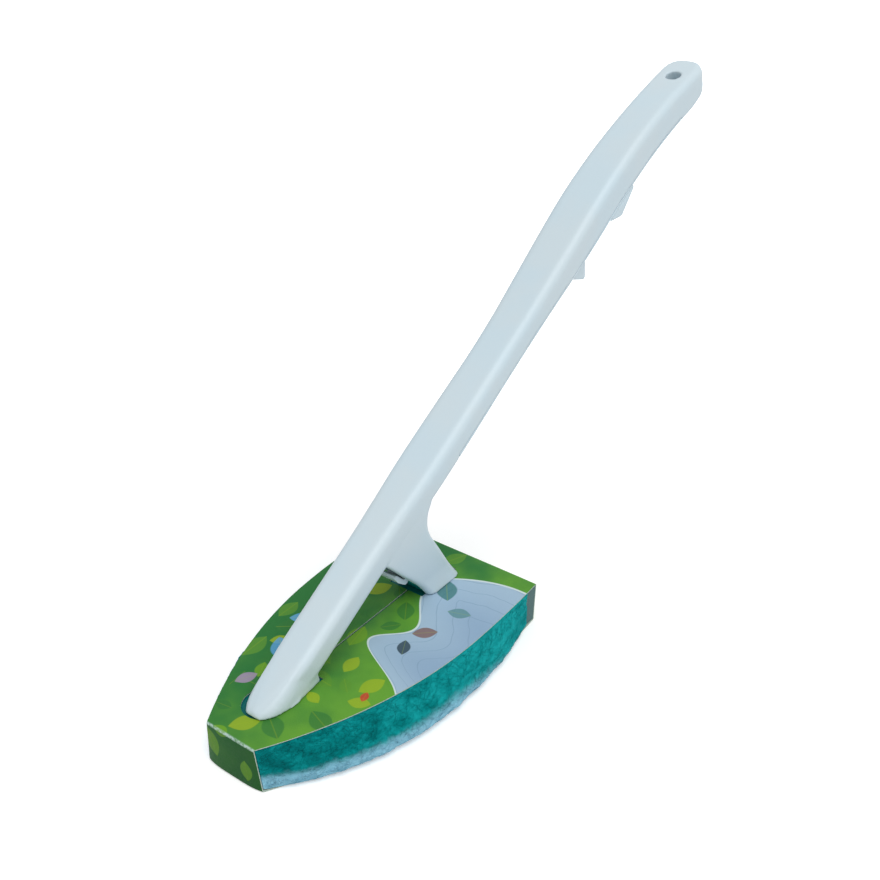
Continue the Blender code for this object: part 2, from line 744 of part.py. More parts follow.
def make_catch_tongue():
    """The plate's springy tongue: a blade inside the leg's open front, hooked over its cross bar."""
    foot_top = PLATE_TOP - PLATE_SKIN - GAP
    foot_low = foot_top - TONGUE
    hook_top = DECK + HOOK_TOP
    hook_low = hook_top - HOOK_HEIGHT
    hook_x = bar_front_x(BAR_TOP) + BAR_DEPTH
    profile = [
        (tongue_x(DECK, 0) - TONGUE_FOOT, foot_low),
        (tongue_x(DECK, TONGUE), foot_low),
        (tongue_x(DECK, TONGUE), DECK),
        (tongue_x(hook_low, TONGUE), hook_low),
        (hook_x, hook_low),
        (hook_x, hook_low + HOOK_HEIGHT / 2),
        (tongue_x(hook_top, TONGUE), hook_top),
        (tongue_x(hook_top, TONGUE / 3), hook_top + TONGUE / 3),
        (tongue_x(hook_top, 0), hook_top - TONGUE / 3),
        (tongue_x(DECK, 0), DECK),
        (tongue_x(DECK, 0), foot_top),
        (tongue_x(DECK, 0) - TONGUE_FOOT, foot_top),
    ]
    tongue = side_plate("catch_tongue", profile, TONGUE_WIDTH / 2)
    return finish(tongue, "catch_tongue", teal_plastic)


def bar_front_x(height):
    """X of the front of the leg's cross bar, just behind the tongue."""
    return tongue_x(height, TONGUE) + SLOT_ROOM


def make_pad():
    """The fibre body with the plate's pocket in it, and the scrub layer under it."""
    top = CARD_TOP - GAP
    body = pad_layer(
        "pad_body",
        lambda share: scrub_top(share) + GAP / 2,
        lambda share: top,
        5,
    )
    pocket = loft(
        "plate_pocket",
        [
            plate_ring(PLATE_BOTTOM - GAP, PLATE_INSET - GAP),
            plate_ring(HEAD_HEIGHT + CARD, PLATE_INSET - GAP),
        ],
    )
    boolean(body, pocket)
    scrub = pad_layer(
        "scrub_layer",
        lambda share: CARD + GAP,
        lambda share: scrub_top(share) - GAP / 2,
        4,
    )
    for layer in (body, scrub):
        for room in ear_flap("ear_room", GAP):
            boolean(layer, room)
    finish(body, "pad_body", teal_fibre)
    finish(scrub, "scrub_layer", pale_fibre)


def make_handle():
    """The white moulding: stalk, toe, heel, leg and plugs, hollow, with the grip cover's opening."""
    outer = handle_loft(
        "handle_body",
        handle_stations(0, HANDLE_LENGTH, STATION_SPACING, END_ROUND, 6),
        0,
        end_top,
        end_under,
        EDGE_RADIUS,
        5,
    )
    levels = [DECK - WALL] + [DECK + FOOT_HEIGHT * i / FOOT_LEVELS for i in range(FOOT_LEVELS + 1)]
    foot = loft("foot", [foot_ring(height) for height in levels])
    boolean(outer, foot, "UNION")
    leg = leg_loft("leg", 0, DECK - WALL)
    boolean(outer, leg, "UNION")
    below = box("below_deck", (NOSE_X, -HEAD_WIDTH, -HEAD_HEIGHT), (BACK_X, HEAD_WIDTH, DECK))
    boolean(outer, below)

    cavity = handle_loft(
        "cavity",
        handle_stations(CAVITY_START, CAVITY_END, CAVITY_SPACING),
        WALL,
        lambda along: WALL,
        lambda along: handle_depth(along) - WALL,
        EDGE_RADIUS - WALL,
        2,
    )
    leg_cavity = leg_loft("leg_cavity", WALL, DECK + WALL)
    boolean(outer, cavity)
    boolean(outer, leg_cavity)

    toe_x = TOE_X + TOE_PLUG_FROM_TIP
    toe_plug = box(
        "toe_plug",
        (toe_x, -TOE_PLUG_WIDTH / 2, DECK - PLUG_DEPTH),
        (toe_x + TOE_PLUG_LENGTH, TOE_PLUG_WIDTH / 2, DECK + WALL),
    )
    boolean(outer, toe_plug, "UNION")
    leg_plug = box(
        "leg_plug",
        (LEG_PLUG_X, -LEG_PLUG_WIDTH / 2, DECK - PLUG_DEPTH),
        (LEG_PLUG_X + LEG_PLUG_LENGTH, LEG_PLUG_WIDTH / 2, DECK + WALL / 2),
    )
    boolean(outer, leg_plug, "UNION")
    plug_room = box(
        "plug_room",
        (LEG_PLUG_X + PLUG_WALL, -LEG_PLUG_WIDTH / 2 + PLUG_WALL, DECK - 2 * PLUG_DEPTH),
        (LEG_PLUG_X + LEG_PLUG_LENGTH - PLUG_WALL, LEG_PLUG_WIDTH / 2 - PLUG_WALL, DECK + 2 * WALL),
    )
    boolean(outer, plug_room)
    open_top = DECK + LEG_OPEN_HEIGHT
    open_back = TONGUE_BACK + SLOT_ROOM
    leg_front = side_plate(
        "leg_front_opening",
        [
            (LEG_FRONT_X - LEG_OPEN_WIDTH, DECK - WALL),
            (LEG_FRONT_X + open_back, DECK - WALL),
            (LEG_FRONT_X + open_back, DECK),
            (front_line_x(open_top) + open_back, open_top),
            (front_line_x(open_top) - LEG_OPEN_WIDTH, open_top),
        ],
        LEG_OPEN_WIDTH / 2,
    )
    boolean(outer, leg_front)
    slot_top = DECK + SLOT_HEIGHT
    slot_back = 2 * WALL / math.sin(LEG_FRONT_ANGLE)
    slot = side_plate(
        "rocker_slot",
        [
            (front_line_x(open_top) - LEG_OPEN_WIDTH, open_top - WALL),
            (front_line_x(open_top - WALL) + slot_back, open_top - WALL),
            (front_line_x(slot_top) + slot_back, slot_top),
            (front_line_x(slot_top) - 2 * WALL, slot_top),
        ],
        ROCKER_WIDTH / 2 + SLOT_ROOM,
    )
    boolean(outer, slot)
    bar_low = BAR_TOP - BAR_HEIGHT
    bar = side_plate(
        "cross_bar",
        [
            (bar_front_x(bar_low), bar_low),
            (bar_front_x(bar_low) + BAR_DEPTH, bar_low),
            (bar_front_x(BAR_TOP) + BAR_DEPTH, BAR_TOP),
            (bar_front_x(BAR_TOP), BAR_TOP),
        ],
        LEG_WIDTH / 2 - WALL / 2,
    )
    boolean(outer, bar, "UNION")
    near_boss = (LEG_WIDTH - ROCKER_WIDTH) / 2 - SLOT_ROOM - WALL / 2
    middle = PIVOT - Vector((0, LEG_WIDTH / 2 - WALL / 2 - near_boss / 2, 0))
    boolean(outer, cylinder("pin_boss", middle, (0, 1, 0), 2 * PIN_RADIUS, near_boss, 20), "UNION")
    pin_room = cylinder(
        "pin_room", PIVOT, (0, 1, 0), PIN_RADIUS + GAP, LEG_WIDTH - 2 * PIN_SKIN, 20
    )
    boolean(outer, pin_room)

    hole_at, angle = spine(HOLE_AT)
    up = Vector((-math.sin(angle), 0, math.cos(angle)))
    hole = cylinder(
        "hang_hole", hole_at - up * KNOB_DEPTH / 2, up, HANG_HOLE_RADIUS, 2 * KNOB_DEPTH, 28
    )
    boolean(outer, hole)
    make_grip_cover(outer)
    return finish(outer, "handle_body", white_plastic)


def make_grip_cover(handle):
    """Parts the underside of the grip off the handle, and adds its finger steps."""
    side = -GRIP_WIDTH
    region = loft(
        "cover_region",
        [
            cover_slab_ring(along, COVER_DEPTH, side)
            for along in handle_stations(COVER_START, COVER_END, STATION_SPACING)
        ],
    )
    cover = handle_loft(
        "grip_cover",
        handle_stations(COVER_START - STATION_SPACING, COVER_END + HOLE_RIM, STATION_SPACING),
        0,
        lambda along: 0,
        handle_depth,
        EDGE_RADIUS,
        5,
    )
    room = loft(
        "cover_room",
        [
            cover_slab_ring(along, COVER_DEPTH + GAP, side)
            for along in handle_stations(COVER_START - GAP, COVER_END + GAP, STATION_SPACING)
        ],
    )
    boolean(cover, region, "INTERSECT")
    inner = handle_loft(
        "cover_inside",
        handle_stations(COVER_START + WALL, COVER_END - WALL, CAVITY_SPACING),
        WALL,
        lambda along: 0,
        lambda along: handle_depth(along) - WALL,
        EDGE_RADIUS - WALL,
        2,
    )
    boolean(cover, inner)
    boolean(handle, room)
    lower = step_profile(LOWER_STEP_AT, LOWER_STEP_HEIGHT, LOWER_STEP_FRONT, LOWER_STEP_REAR, WALL / 2)
    boolean(cover, side_plate("lower_step", lower, LOWER_STEP_WIDTH / 2, LOWER_STEP_EDGE), "UNION")
    upper = step_profile(UPPER_STEP_AT, UPPER_STEP_HEIGHT, UPPER_STEP_FRONT, UPPER_STEP_REAR, WALL / 2)
    upper_width = handle_half_width(UPPER_STEP_AT) - STEP_INSET
    boolean(cover, side_plate("upper_step", upper, upper_width, UPPER_STEP_EDGE), "UNION")
    return finish(cover, "grip_cover", white_plastic)


def cover_slab_ring(along, depth, side):
    """A wide band from depth above the underside to well below it."""
    start, angle = spine(along)
    down = Vector((math.sin(angle), 0, -math.cos(angle)))
    top = handle_depth(along) - depth
    bottom = handle_depth(along) + 2 * GRIP_DEPTH
    return [
        start + down * top + Vector((0, side, 0)),
        start + down * bottom + Vector((0, side, 0)),
        start + down * bottom - Vector((0, side, 0)),
        start + down * top - Vector((0, side, 0)),
    ]


def make_rocker():
    """The rocker, with its origin on the pivot, and the pin that it turns on."""
    eye = PIN_RADIUS + GAP + EYE_WALL
    nose_x = bar_front_x(BAR_TOP) + BAR_DEPTH + GAP
    nose_z = BAR_TOP + GAP + HOOK_HEIGHT / 4
    tip = TAB_LOW + TAB_HEIGHT
    inside = TAB_OUT - TAB_THICK
    profile = [
        face_point(TAB_LOW + TAB_THICK * 1.4, -TAB_ROOT),
        face_point(TAB_LOW + TAB_THICK * 1.4, 0),
        face_point(TAB_LOW + TAB_THICK * 1.8, inside * 0.8),
        face_point(TAB_LOW + TAB_HEIGHT / 2, inside),
        face_point(tip - TAB_THICK / 3, inside),
        face_point(tip, inside + TAB_THICK / 3),
        face_point(tip - TAB_THICK / 4, TAB_OUT - TAB_THICK / 6),
        face_point(TAB_LOW + TAB_HEIGHT * 0.6, TAB_OUT + TAB_THICK / 10),
        face_point(TAB_LOW + TAB_THICK * 1.2, TAB_OUT - TAB_THICK / 6),
        face_point(TAB_LOW + TAB_THICK / 3, TAB_OUT * 0.7),
        face_point(TAB_LOW, TAB_OUT / 3),
        face_point(TAB_LOW, -TAB_ROOT),
        (nose_x, PIVOT.z - eye),
        (nose_x, nose_z),
        (nose_x + ROCKER_ARM, nose_z),
        (nose_x + ROCKER_ARM, PIVOT.z - eye),
    ]
    for i in range(9):
        turn = math.pi * (-0.25 + i / 8 * 0.85)
        profile.append((PIVOT.x + eye * math.cos(turn), PIVOT.z + eye * math.sin(turn)))
    rocker = side_plate("release_rocker", profile, ROCKER_WIDTH / 2)
    bore = cylinder("rocker_bore", PIVOT, (0, 1, 0), PIN_RADIUS + GAP, 2 * ROCKER_WIDTH, 20)
    boolean(rocker, bore)
    finish(rocker, "release_rocker", white_plastic)
    set_origin(rocker, PIVOT)
    length = LEG_WIDTH - 2 * PIN_SKIN - 2 * GAP
    pin = cylinder("rocker_pin", (0, 0, 0), (0, 1, 0), PIN_RADIUS, length, 20)
    finish(pin, "rocker_pin", spring_steel)
    pin.location = PIVOT


def make_spring():
    """Torsion spring: turns about the pin, an arm to the leg's rear wall and one along the rocker."""
    start_y = ROCKER_WIDTH / 2 + GAP + SPRING_WIRE / 2
    pitch = SPRING_WIRE + GAP
    points = [Vector((-SPRING_ARM, start_y, SPRING_RADIUS))]
    for i in range(SPRING_TURNS * 10 + 1):
        turn = math.tau * i / 10
        points.append(
            Vector(
                (
                    SPRING_RADIUS * math.sin(turn),
                    start_y + pitch * i / 10,
                    SPRING_RADIUS * math.cos(turn),
                )
            )
        )
    end_y = start_y + pitch * SPRING_TURNS
    points.append(Vector((SPRING_ARM / 2, end_y, SPRING_RADIUS)))
    curve = bpy.data.curves.new("rocker_spring", "CURVE")
    curve.dimensions = "3D"
    curve.bevel_depth = SPRING_WIRE / 2
    curve.bevel_resolution = 1
    curve.use_fill_caps = True
    wire = curve.splines.new("POLY")
    wire.points.add(len(points) - 1)
    for point, place in zip(wire.points, points):
        point.co = (*place, 1)
    made = bpy.data.objects.new("rocker_spring", curve)
    made.location = PIVOT
    brush.objects.link(made)
    curve.materials.append(spring_steel)


make_card_sleeve()
make_pad()
make_carrier_plate()
make_catch_tongue()
make_handle()
make_rocker()
make_spring()
for helper in list(cutters.objects):
    bpy.data.objects.remove(helper)
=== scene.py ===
import math
import random

import bmesh
import bpy
import numpy as np
from mathutils import Matrix, Vector, noise
from mathutils.bvhtree import BVHTree


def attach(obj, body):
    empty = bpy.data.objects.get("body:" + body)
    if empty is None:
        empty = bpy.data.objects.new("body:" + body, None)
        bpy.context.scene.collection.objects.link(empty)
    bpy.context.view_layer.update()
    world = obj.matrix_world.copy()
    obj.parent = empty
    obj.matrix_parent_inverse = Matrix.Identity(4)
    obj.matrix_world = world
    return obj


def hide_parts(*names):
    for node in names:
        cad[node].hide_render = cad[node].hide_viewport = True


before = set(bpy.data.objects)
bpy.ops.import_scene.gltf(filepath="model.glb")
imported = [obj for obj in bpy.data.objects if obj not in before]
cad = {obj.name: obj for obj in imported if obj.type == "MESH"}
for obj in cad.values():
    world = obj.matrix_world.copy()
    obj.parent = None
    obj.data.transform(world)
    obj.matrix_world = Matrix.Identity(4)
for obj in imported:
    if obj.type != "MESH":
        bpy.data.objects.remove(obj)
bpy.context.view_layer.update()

# Viewpoint: the brush stands on its sleeved head and is seen from beyond the nose,
# from its right side and above, by a lens with a narrow view.


def add_to_scene(name, data):
    """A new object that holds this camera, lamp or mesh."""
    made = bpy.data.objects.new(name, data)
    bpy.context.scene.collection.objects.link(made)
    return made


camera = add_to_scene("viewpoint", bpy.data.cameras.new("viewpoint"))
camera.data.lens = 49.09
camera.data.sensor_width = 36
camera.data.clip_start = 0.01
camera.matrix_world = Matrix(
    (
        (0.61246, 0.41755, -0.67123, -0.31864),
        (-0.78996, 0.29184, -0.53925, -0.31067),
        (-0.02927, 0.86051, 0.50859, 0.39056),
        (0, 0, 0, 1),
    )
)
bpy.context.scene.camera = camera

# Carrier plate: the refill's teal tray, injection moulded in polypropylene.
# It shows through the card's two windows, as a crescent at the toe and a strip at the leg.
TEAL_PLASTIC = (0.001, 0.13, 0.128, 1)
TEAL_PLASTIC_DARK = (0.001, 0.1, 0.1, 1)
TEAL_SURFACE = {"roughness": 0.42, "grain_depth": 0.00006, "shine": 0.12}
CLOUD_SIZE = 0.03
GRAIN_SIZE = 0.0009
SCUFF_SIZE = 0.004
SCUFF_STRETCH = (1, 1, 5)
SCUFF_ROUGHNESS = (-0.05, 0.07)
TRAY_EDGE = 0.0003
POINT_MERGE = 0.00002
FLAT_TURN = math.radians(0.6)
SHARP_TURN = math.radians(35)
ROUNDING_STEPS = 3


def new_finish(name):
    """An empty finish: its node tree, its shader and the place on the piece at rest."""
    made = bpy.data.materials.new(name)
    made.use_nodes = True
    tree = made.node_tree
    place = tree.nodes.new("ShaderNodeTexCoord").outputs["Object"]
    return made, tree, tree.nodes["Principled BSDF"], place


def node(tree, kind, inputs=(), out=0, **settings):
    """One shader node with its settings and inputs, and the output asked for."""
    made = tree.nodes.new("ShaderNode" + kind)
    for key, value in settings.items():
        setattr(made, key, value)
    for key, value in dict(inputs).items():
        if isinstance(value, bpy.types.NodeSocket):
            tree.links.new(value, made.inputs[key])
        else:
            made.inputs[key].default_value = value
    return made.outputs[out]


def sums(tree, operation, a, b=0.0):
    """One sum of a value and another: ADD, MULTIPLY, MAXIMUM and so on."""
    return node(tree, "Math", {0: a, 1: b}, operation=operation)


def blend_colours(tree, share, a, b):
    """Colour a at share 0 and b at share 1."""
    return node(tree, "Mix", {0: share, 6: a, 7: b}, out=2, data_type="RGBA")


def between(tree, value, low, high, to_low=0.0, to_high=1.0):
    """A value between low and high, brought to another range and stopped at its ends."""
    return node(
        tree,
        "MapRange",
        {"Value": value, "From Min": low, "From Max": high, "To Min": to_low, "To Max": to_high},
        interpolation_type="SMOOTHSTEP",
    )


def speckle(tree, place, size, detail=3.0, rough=0.5, stretch=None):
    """Noise with grains of a real size, in metres."""
    if stretch:
        place = node(tree, "Mapping", {"Vector": place, "Scale": stretch})
    return node(
        tree,
        "TexNoise",
        {"Vector": place, "Scale": 1 / size, "Detail": detail, "Roughness": rough},
    )


def raised(tree, shader, height, depth, strength=1.0):
    """Bump of a real depth on a shader."""
    bump = node(tree, "Bump", {"Height": height, "Distance": depth, "Strength": strength})
    tree.links.new(bump, shader.inputs["Normal"])


def moulded_plastic(name, colour, dark, roughness, grain_depth, shine):
    """Moulded plastic: faint clouding, a fine mould texture and small changes of gloss."""
    made, tree, shader, place = new_finish(name)
    clouds = between(tree, speckle(tree, place, CLOUD_SIZE), 0.35, 0.65)
    tree.links.new(blend_colours(tree, clouds, colour, dark), shader.inputs["Base Color"])
    scuffs = speckle(tree, place, SCUFF_SIZE, 4.0, 0.6, SCUFF_STRETCH)
    ends = [roughness + change for change in SCUFF_ROUGHNESS]
    tree.links.new(between(tree, scuffs, 0.3, 0.7, *ends), shader.inputs["Roughness"])
    raised(tree, shader, speckle(tree, place, GRAIN_SIZE, 2.0), grain_depth)
    shader.inputs["Specular IOR Level"].default_value = shine
    return made


def coat(piece, look):
    """Gives every face of a piece one finish."""
    piece.data.materials.clear()
    piece.data.materials.append(look)


def mesh_from(name, bm):
    """A mesh made of a bmesh, which is used up."""
    mesh = bpy.data.meshes.new(name)
    bm.to_mesh(mesh)
    bm.free()
    return mesh


def settle(piece):
    """Turns a piece's modifiers into its mesh."""
    bpy.context.view_layer.update()
    graph = bpy.context.evaluated_depsgraph_get()
    mesh = bpy.data.meshes.new_from_object(piece.evaluated_get(graph))
    piece.modifiers.clear()
    piece.data = mesh


def moulded_copy(name, source, edge):
    """A smooth piece from a moulded node's own faces, with its sharp edges rounded."""
    bm = bmesh.new()
    bm.from_mesh(cad[source].data)
    bmesh.ops.remove_doubles(bm, verts=bm.verts, dist=POINT_MERGE)
    bmesh.ops.dissolve_limit(bm, angle_limit=FLAT_TURN, verts=bm.verts, edges=bm.edges)
    piece = add_to_scene(name, mesh_from(name, bm))
    rounding = piece.modifiers.new("rounding", "BEVEL")
    rounding.width = edge
    rounding.segments = ROUNDING_STEPS
    rounding.limit_method = "ANGLE"
    rounding.angle_limit = SHARP_TURN
    settle(piece)
    piece.data.shade_smooth()
    return piece


def place_piece(piece, body, slot, *stands_for):
    """Puts a finished piece on its body and hides the nodes that it stands for. Its slot is not used."""
    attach(piece, body)
    if stands_for:
        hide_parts(*stands_for)


tray = moulded_copy("refill_tray", "carrier_plate", TRAY_EDGE)
coat(tray, moulded_plastic("teal_polypropylene", TEAL_PLASTIC, TEAL_PLASTIC_DARK, **TEAL_SURFACE))
place_piece(tray, "head", "teal_plastic", "carrier_plate")

# Catch tongue: the springy blade of the same teal plastic, which stands up inside the leg
# and hooks over its cross bar. Its colour is a lighter teal than the tray's: painted light,
# which brightens the blade where it stands in the leg's shade.
TONGUE_LIT_TEAL = (0.003, 0.32, 0.29, 1)
TONGUE_LIT_TEAL_DARK = (0.002, 0.25, 0.23, 1)
TONGUE_EDGE = 0.00025
tongue = moulded_copy("tray_tongue", "catch_tongue", TONGUE_EDGE)
coat(tongue, moulded_plastic("tongue_polypropylene_painted_light", TONGUE_LIT_TEAL, TONGUE_LIT_TEAL_DARK, **TEAL_SURFACE))
place_piece(tongue, "head", "teal_plastic", "catch_tongue")

# Scrub pad: a lofty teal web of crimped nylon fibre on a denser pale web, needled together,
# so that their colours run into each other. It swells out of the sleeve's open sides.
HEAD_LENGTH = 0.165
HEAD_HEIGHT = 0.0235
NOSE_WIDTH = 0.0284
HEAD_WIDTH = 0.0966
BACK_WIDTH = 0.094
WIDEST = 119 / 165
SIDE_CURVE = 2.12
NOSE_SPREAD = 0.0024
BACK_SPREAD = -0.0015


def stopped(value):
    """A value stopped at 0 and 1."""
    return min(max(value, 0), 1)


def top_half_width(x):
    """Half width of the sleeve's top at a place along the head."""
    share = stopped(x / HEAD_LENGTH + 0.5)
    if share < WIDEST:
        return (NOSE_WIDTH + (HEAD_WIDTH - NOSE_WIDTH) * (1 - (1 - share / WIDEST) ** SIDE_CURVE)) / 2
    fall = ((share - WIDEST) / (1 - WIDEST)) ** 2
    return (HEAD_WIDTH + (BACK_WIDTH - HEAD_WIDTH) * fall) / 2


def sleeve_half_width(x, z):
    """Half width of the sleeve at a place along the head and up it."""
    share = x / HEAD_LENGTH + 0.5
    spread = NOSE_SPREAD + (BACK_SPREAD - NOSE_SPREAD) * share
    return top_half_width(x) + spread * (1 - z / HEAD_HEIGHT)


TEAL_WEB = ((0.0, 0.11, 0.115, 1), (0.0, 0.19, 0.195, 1), (0.004, 0.28, 0.29, 1), (0.012, 0.38, 0.39, 1))
TEAL_STOPS = (0.3, 0.44, 0.57, 0.8)
PALE_WEB = ((0.16, 0.4, 0.52, 1), (0.27, 0.56, 0.7, 1))
LIFTED_TEAL = (0.004, 0.34, 0.345, 1)
LIFTED_PALE = (0.4, 0.68, 0.79, 1)
LIFTED_SHARE = 0.4
MOTTLE_SIZE = 0.0075
MOTTLE_SHARE = 0.65
FLECK_SIZE = 0.0028
FLECK_SHARE = 0.35
FLECK_STRETCH = (0.7, 1, 2.0)
FIBRE_SIZE = 0.001
FIBRE_SHARE = 0.2
FIBRE_STRETCH = (1, 1, 1.7)
LIGHTER_BETWEEN = (-0.08, 0.075)
LIGHTER_MIDDLE = 0.32
LIGHTER_BY = 0.28
PALE_TOP_BETWEEN = (0.0, 0.085)
PALE_TOP_HEIGHTS = (0.008, -0.0016)
MIXED_BETWEEN = (-0.06, 0.06)
MIXED_HEIGHTS = (0.0022, 0.0042)
RAGGED_HEIGHT = 0.006
WEB_ROUGHNESS = 0.85
WEB_SHINE = 0.05
FLECK_RISE = 1.2
WEB_RISE = 0.0004
WEB_RISE_STRENGTH = 0.7


def web_finish(name):
    """Crimped fibre: mottled teal above, pale blue below, and a soft change between them."""
    made, tree, shader, place = new_finish(name)
    x = node(tree, "SeparateXYZ", {0: place})
    z = x.node.outputs["Z"]
    mottle = speckle(tree, place, MOTTLE_SIZE, 5.0, 0.7)
    fibre = speckle(tree, place, FIBRE_SIZE, 3.0, 0.7, FIBRE_STRETCH)
    fleck = speckle(tree, place, FLECK_SIZE, 4.0, 0.75, FLECK_STRETCH)
    from_mottle = sums(tree, "MULTIPLY", mottle, MOTTLE_SHARE)
    from_fleck = sums(tree, "MULTIPLY", fleck, FLECK_SHARE)
    from_fibre = sums(tree, "MULTIPLY", sums(tree, "SUBTRACT", fibre, 0.5), FIBRE_SHARE)
    shade = sums(tree, "ADD", sums(tree, "ADD", from_mottle, from_fleck), from_fibre)
    along = sums(tree, "SUBTRACT", between(tree, x, *LIGHTER_BETWEEN), LIGHTER_MIDDLE)
    lit = sums(tree, "ADD", shade, sums(tree, "MULTIPLY", along, LIGHTER_BY))
    teal = node(tree, "ValToRGB", {0: lit})
    stops = teal.node.color_ramp.elements
    for at in TEAL_STOPS[1:3]:
        stops.new(at)
    for stop, at, colour in zip(stops, TEAL_STOPS, TEAL_WEB):
        stop.position = at
        stop.color = colour
    pale = blend_colours(tree, between(tree, shade, 0.3, 0.62), *PALE_WEB)
    line = between(tree, x, *PALE_TOP_BETWEEN, *PALE_TOP_HEIGHTS)
    ragged = sums(tree, "MULTIPLY", sums(tree, "SUBTRACT", mottle, 0.5), RAGGED_HEIGHT)
    above = sums(tree, "ADD", sums(tree, "SUBTRACT", z, line), ragged)
    mixed = between(tree, x, *MIXED_BETWEEN, *MIXED_HEIGHTS)
    share = between(tree, sums(tree, "DIVIDE", above, mixed), -1.0, 1.0)
    tint = blend_colours(tree, share, pale, teal)
    strand = node(tree, "Attribute", attribute_name="tint", out=2)
    lifted = blend_colours(tree, share, LIFTED_PALE, LIFTED_TEAL)
    tint = blend_colours(tree, between(tree, strand, 0.0, 1.0, 0.0, LIFTED_SHARE), tint, lifted)
    tree.links.new(tint, shader.inputs["Base Color"])
    shader.inputs["Roughness"].default_value = WEB_ROUGHNESS
    shader.inputs["Specular IOR Level"].default_value = WEB_SHINE
    height = sums(tree, "ADD", fibre, sums(tree, "MULTIPLY", fleck, FLECK_RISE))
    raised(tree, shader, height, WEB_RISE, WEB_RISE_STRENGTH)
    return made


OPEN_FROM = 0.25
OPEN_RANGE = 0.55


def open_side(normal):
    """How far a place on the pad is free of the card: 1 on the open sides, 0 on the rest."""
    side = max(0.0, abs(normal.y) - OPEN_FROM) / OPEN_RANGE
    return min(1.0, side) * max(0.0, 1 - abs(normal.z) ** 3)


def push(mesh, move):
    """Moves every point of a mesh by a function of its place and normal."""
    moved = [move(vertex.co, vertex.normal) for vertex in mesh.vertices]
    for vertex, place in zip(mesh.vertices, moved):
        vertex.co = place


def add_skin(piece, cell):
    """One closed skin over all that a piece holds, in cells of this size."""
    skin = piece.modifiers.new("skin", "REMESH")
    skin.mode = "VOXEL"
    skin.voxel_size = cell


WEB_CELL = 0.0008
LAYER_MERGE = 0.00001
LAYER_LAP = 0.0008
LINE_AT_MIDDLE = 0.0114
LINE_SLOPE = 0.02667
SWELL_FROM_NOSE = 0.016
SWELL_FROM_EAR = 0.034
EAR_FRONT = 0.0752
WEB_TOP = 0.0229
TUCK_HEIGHT = 0.0075
CARD_PLAY = 0.0002
RUFFLES = ((150, (0, 0, 0), 0.0007), (560, (7, 3, 5), 0.00038), (1400, (2, 9, 4), 0.00022))
RUFFLE_SINK = 0.0002
RUFFLE_AT_CARD = 0.3


def below_card(place):
    """0 where the pad is tucked under the card, and 1 where it is free of it."""
    return stopped((WEB_TOP - place.z) / TUCK_HEIGHT)


def eased(share):
    """A share that rises fast at first and levels out at 1."""
    return math.sin(math.pi / 2 * share)


def tuck(place, _):
    """Keeps the pad within the card near it, and lets it swell further down."""
    edge = sleeve_half_width(place.x, place.z) - CARD_PLAY
    past = abs(place.y) - edge
    if past <= 0:
        return place.copy()
    at_nose = stopped((place.x + HEAD_LENGTH / 2) / SWELL_FROM_NOSE)
    at_back = stopped((EAR_FRONT - place.x) / SWELL_FROM_EAR)
    swell = eased(at_nose) * eased(at_back) * eased(below_card(place))
    return Vector((place.x, math.copysign(edge + past * swell, place.y), place.z))


def ruffle(place, normal):
    """Uneven fibre on the open sides: broad, small and tiny humps."""
    free = open_side(normal) * (RUFFLE_AT_CARD + (1 - RUFFLE_AT_CARD) * below_card(place))
    if free <= 0:
        return place.copy()
    humps = [noise.noise(place * scale + Vector(start)) * rise for scale, start, rise in RUFFLES]
    return place + normal * (humps[0] + humps[1] + humps[2] - RUFFLE_SINK) * free


def needled_block():
    """Both layers' own solids as one remeshed block, ruffled on its open sides."""
    bm = bmesh.new()
    bm.from_mesh(cad["scrub_layer"].data)
    for vertex in bm.verts:
        if vertex.co.z > LINE_AT_MIDDLE + LINE_SLOPE * vertex.co.x - LAYER_LAP:
            vertex.co.z += LAYER_LAP
    bm.from_mesh(cad["pad_body"].data)
    bmesh.ops.remove_doubles(bm, verts=bm.verts, dist=LAYER_MERGE)
    made = add_to_scene("needled_block", mesh_from("needled_block", bm))
    add_skin(made, WEB_CELL)
    settle(made)
    push(made.data, tuck)
    made.data.update()
    push(made.data, ruffle)
    return made


def web_layer(name, source, above):
    """The part of the block over or under the line, closed there with a flat cut."""
    bm = bmesh.new()
    bm.from_mesh(source.data)
    cut = bmesh.ops.bisect_plane(
        bm,
        geom=list(bm.verts) + list(bm.edges) + list(bm.faces),
        plane_co=(0, 0, LINE_AT_MIDDLE),
        plane_no=Vector((-LINE_SLOPE, 0, 1)).normalized(),
        clear_inner=above,
        clear_outer=not above,
    )
    rim = [item for item in cut["geom_cut"] if isinstance(item, bmesh.types.BMEdge)]
    bmesh.ops.edgeloop_fill(bm, edges=rim)
    for edge in rim:
        edge.smooth = False
    for face in bm.faces:
        face.smooth = True
    bmesh.ops.recalc_face_normals(bm, faces=bm.faces)
    piece = add_to_scene(name, mesh_from(name, bm))
    coat(piece, web_look)
    return piece


web_look = web_finish("crimped_fibre")
block = needled_block()
fibre_web = web_layer("fibre_web", block, True)
place_piece(fibre_web, "head", "teal_fibre", "pad_body")
scrub_web = web_layer("scrub_web", block, False)
place_piece(scrub_web, "head", "pale_fibre", "scrub_layer")
bpy.data.objects.remove(block)

# Loose strands: single crimped fibres that arch out of the cut sides of both webs.
# Each is a thin tube along the pad's surface, and some are paler than the web behind them.
STRANDS = 2600
STRAND_SEED = 7
FIBRE_WEB_SHARE = 0.62
SCRUB_WEB_SHARE = 0.38
STRAND_RADIUS = 0.00008
STRAND_TIP = 0.45
STRAND_SIDES = 3
STRAND_STEPS = 8
FEWEST_STEPS = 4
STEP_LENGTHS = (0.0006, 0.0017)
STRAND_SLANT = 0.9
STRAND_TURN = 0.35
STRAND_ARCHES = (0.0001, 0.00055)
STRAND_SINK = 0.0001
START_OPEN = 0.6
END_OPEN = 0.3
SHADE_CURVE = 1.5


def along_surface(direction, normal):
    """A direction laid flat on a surface with this normal."""
    return (direction - normal * direction.dot(normal)).normalized()


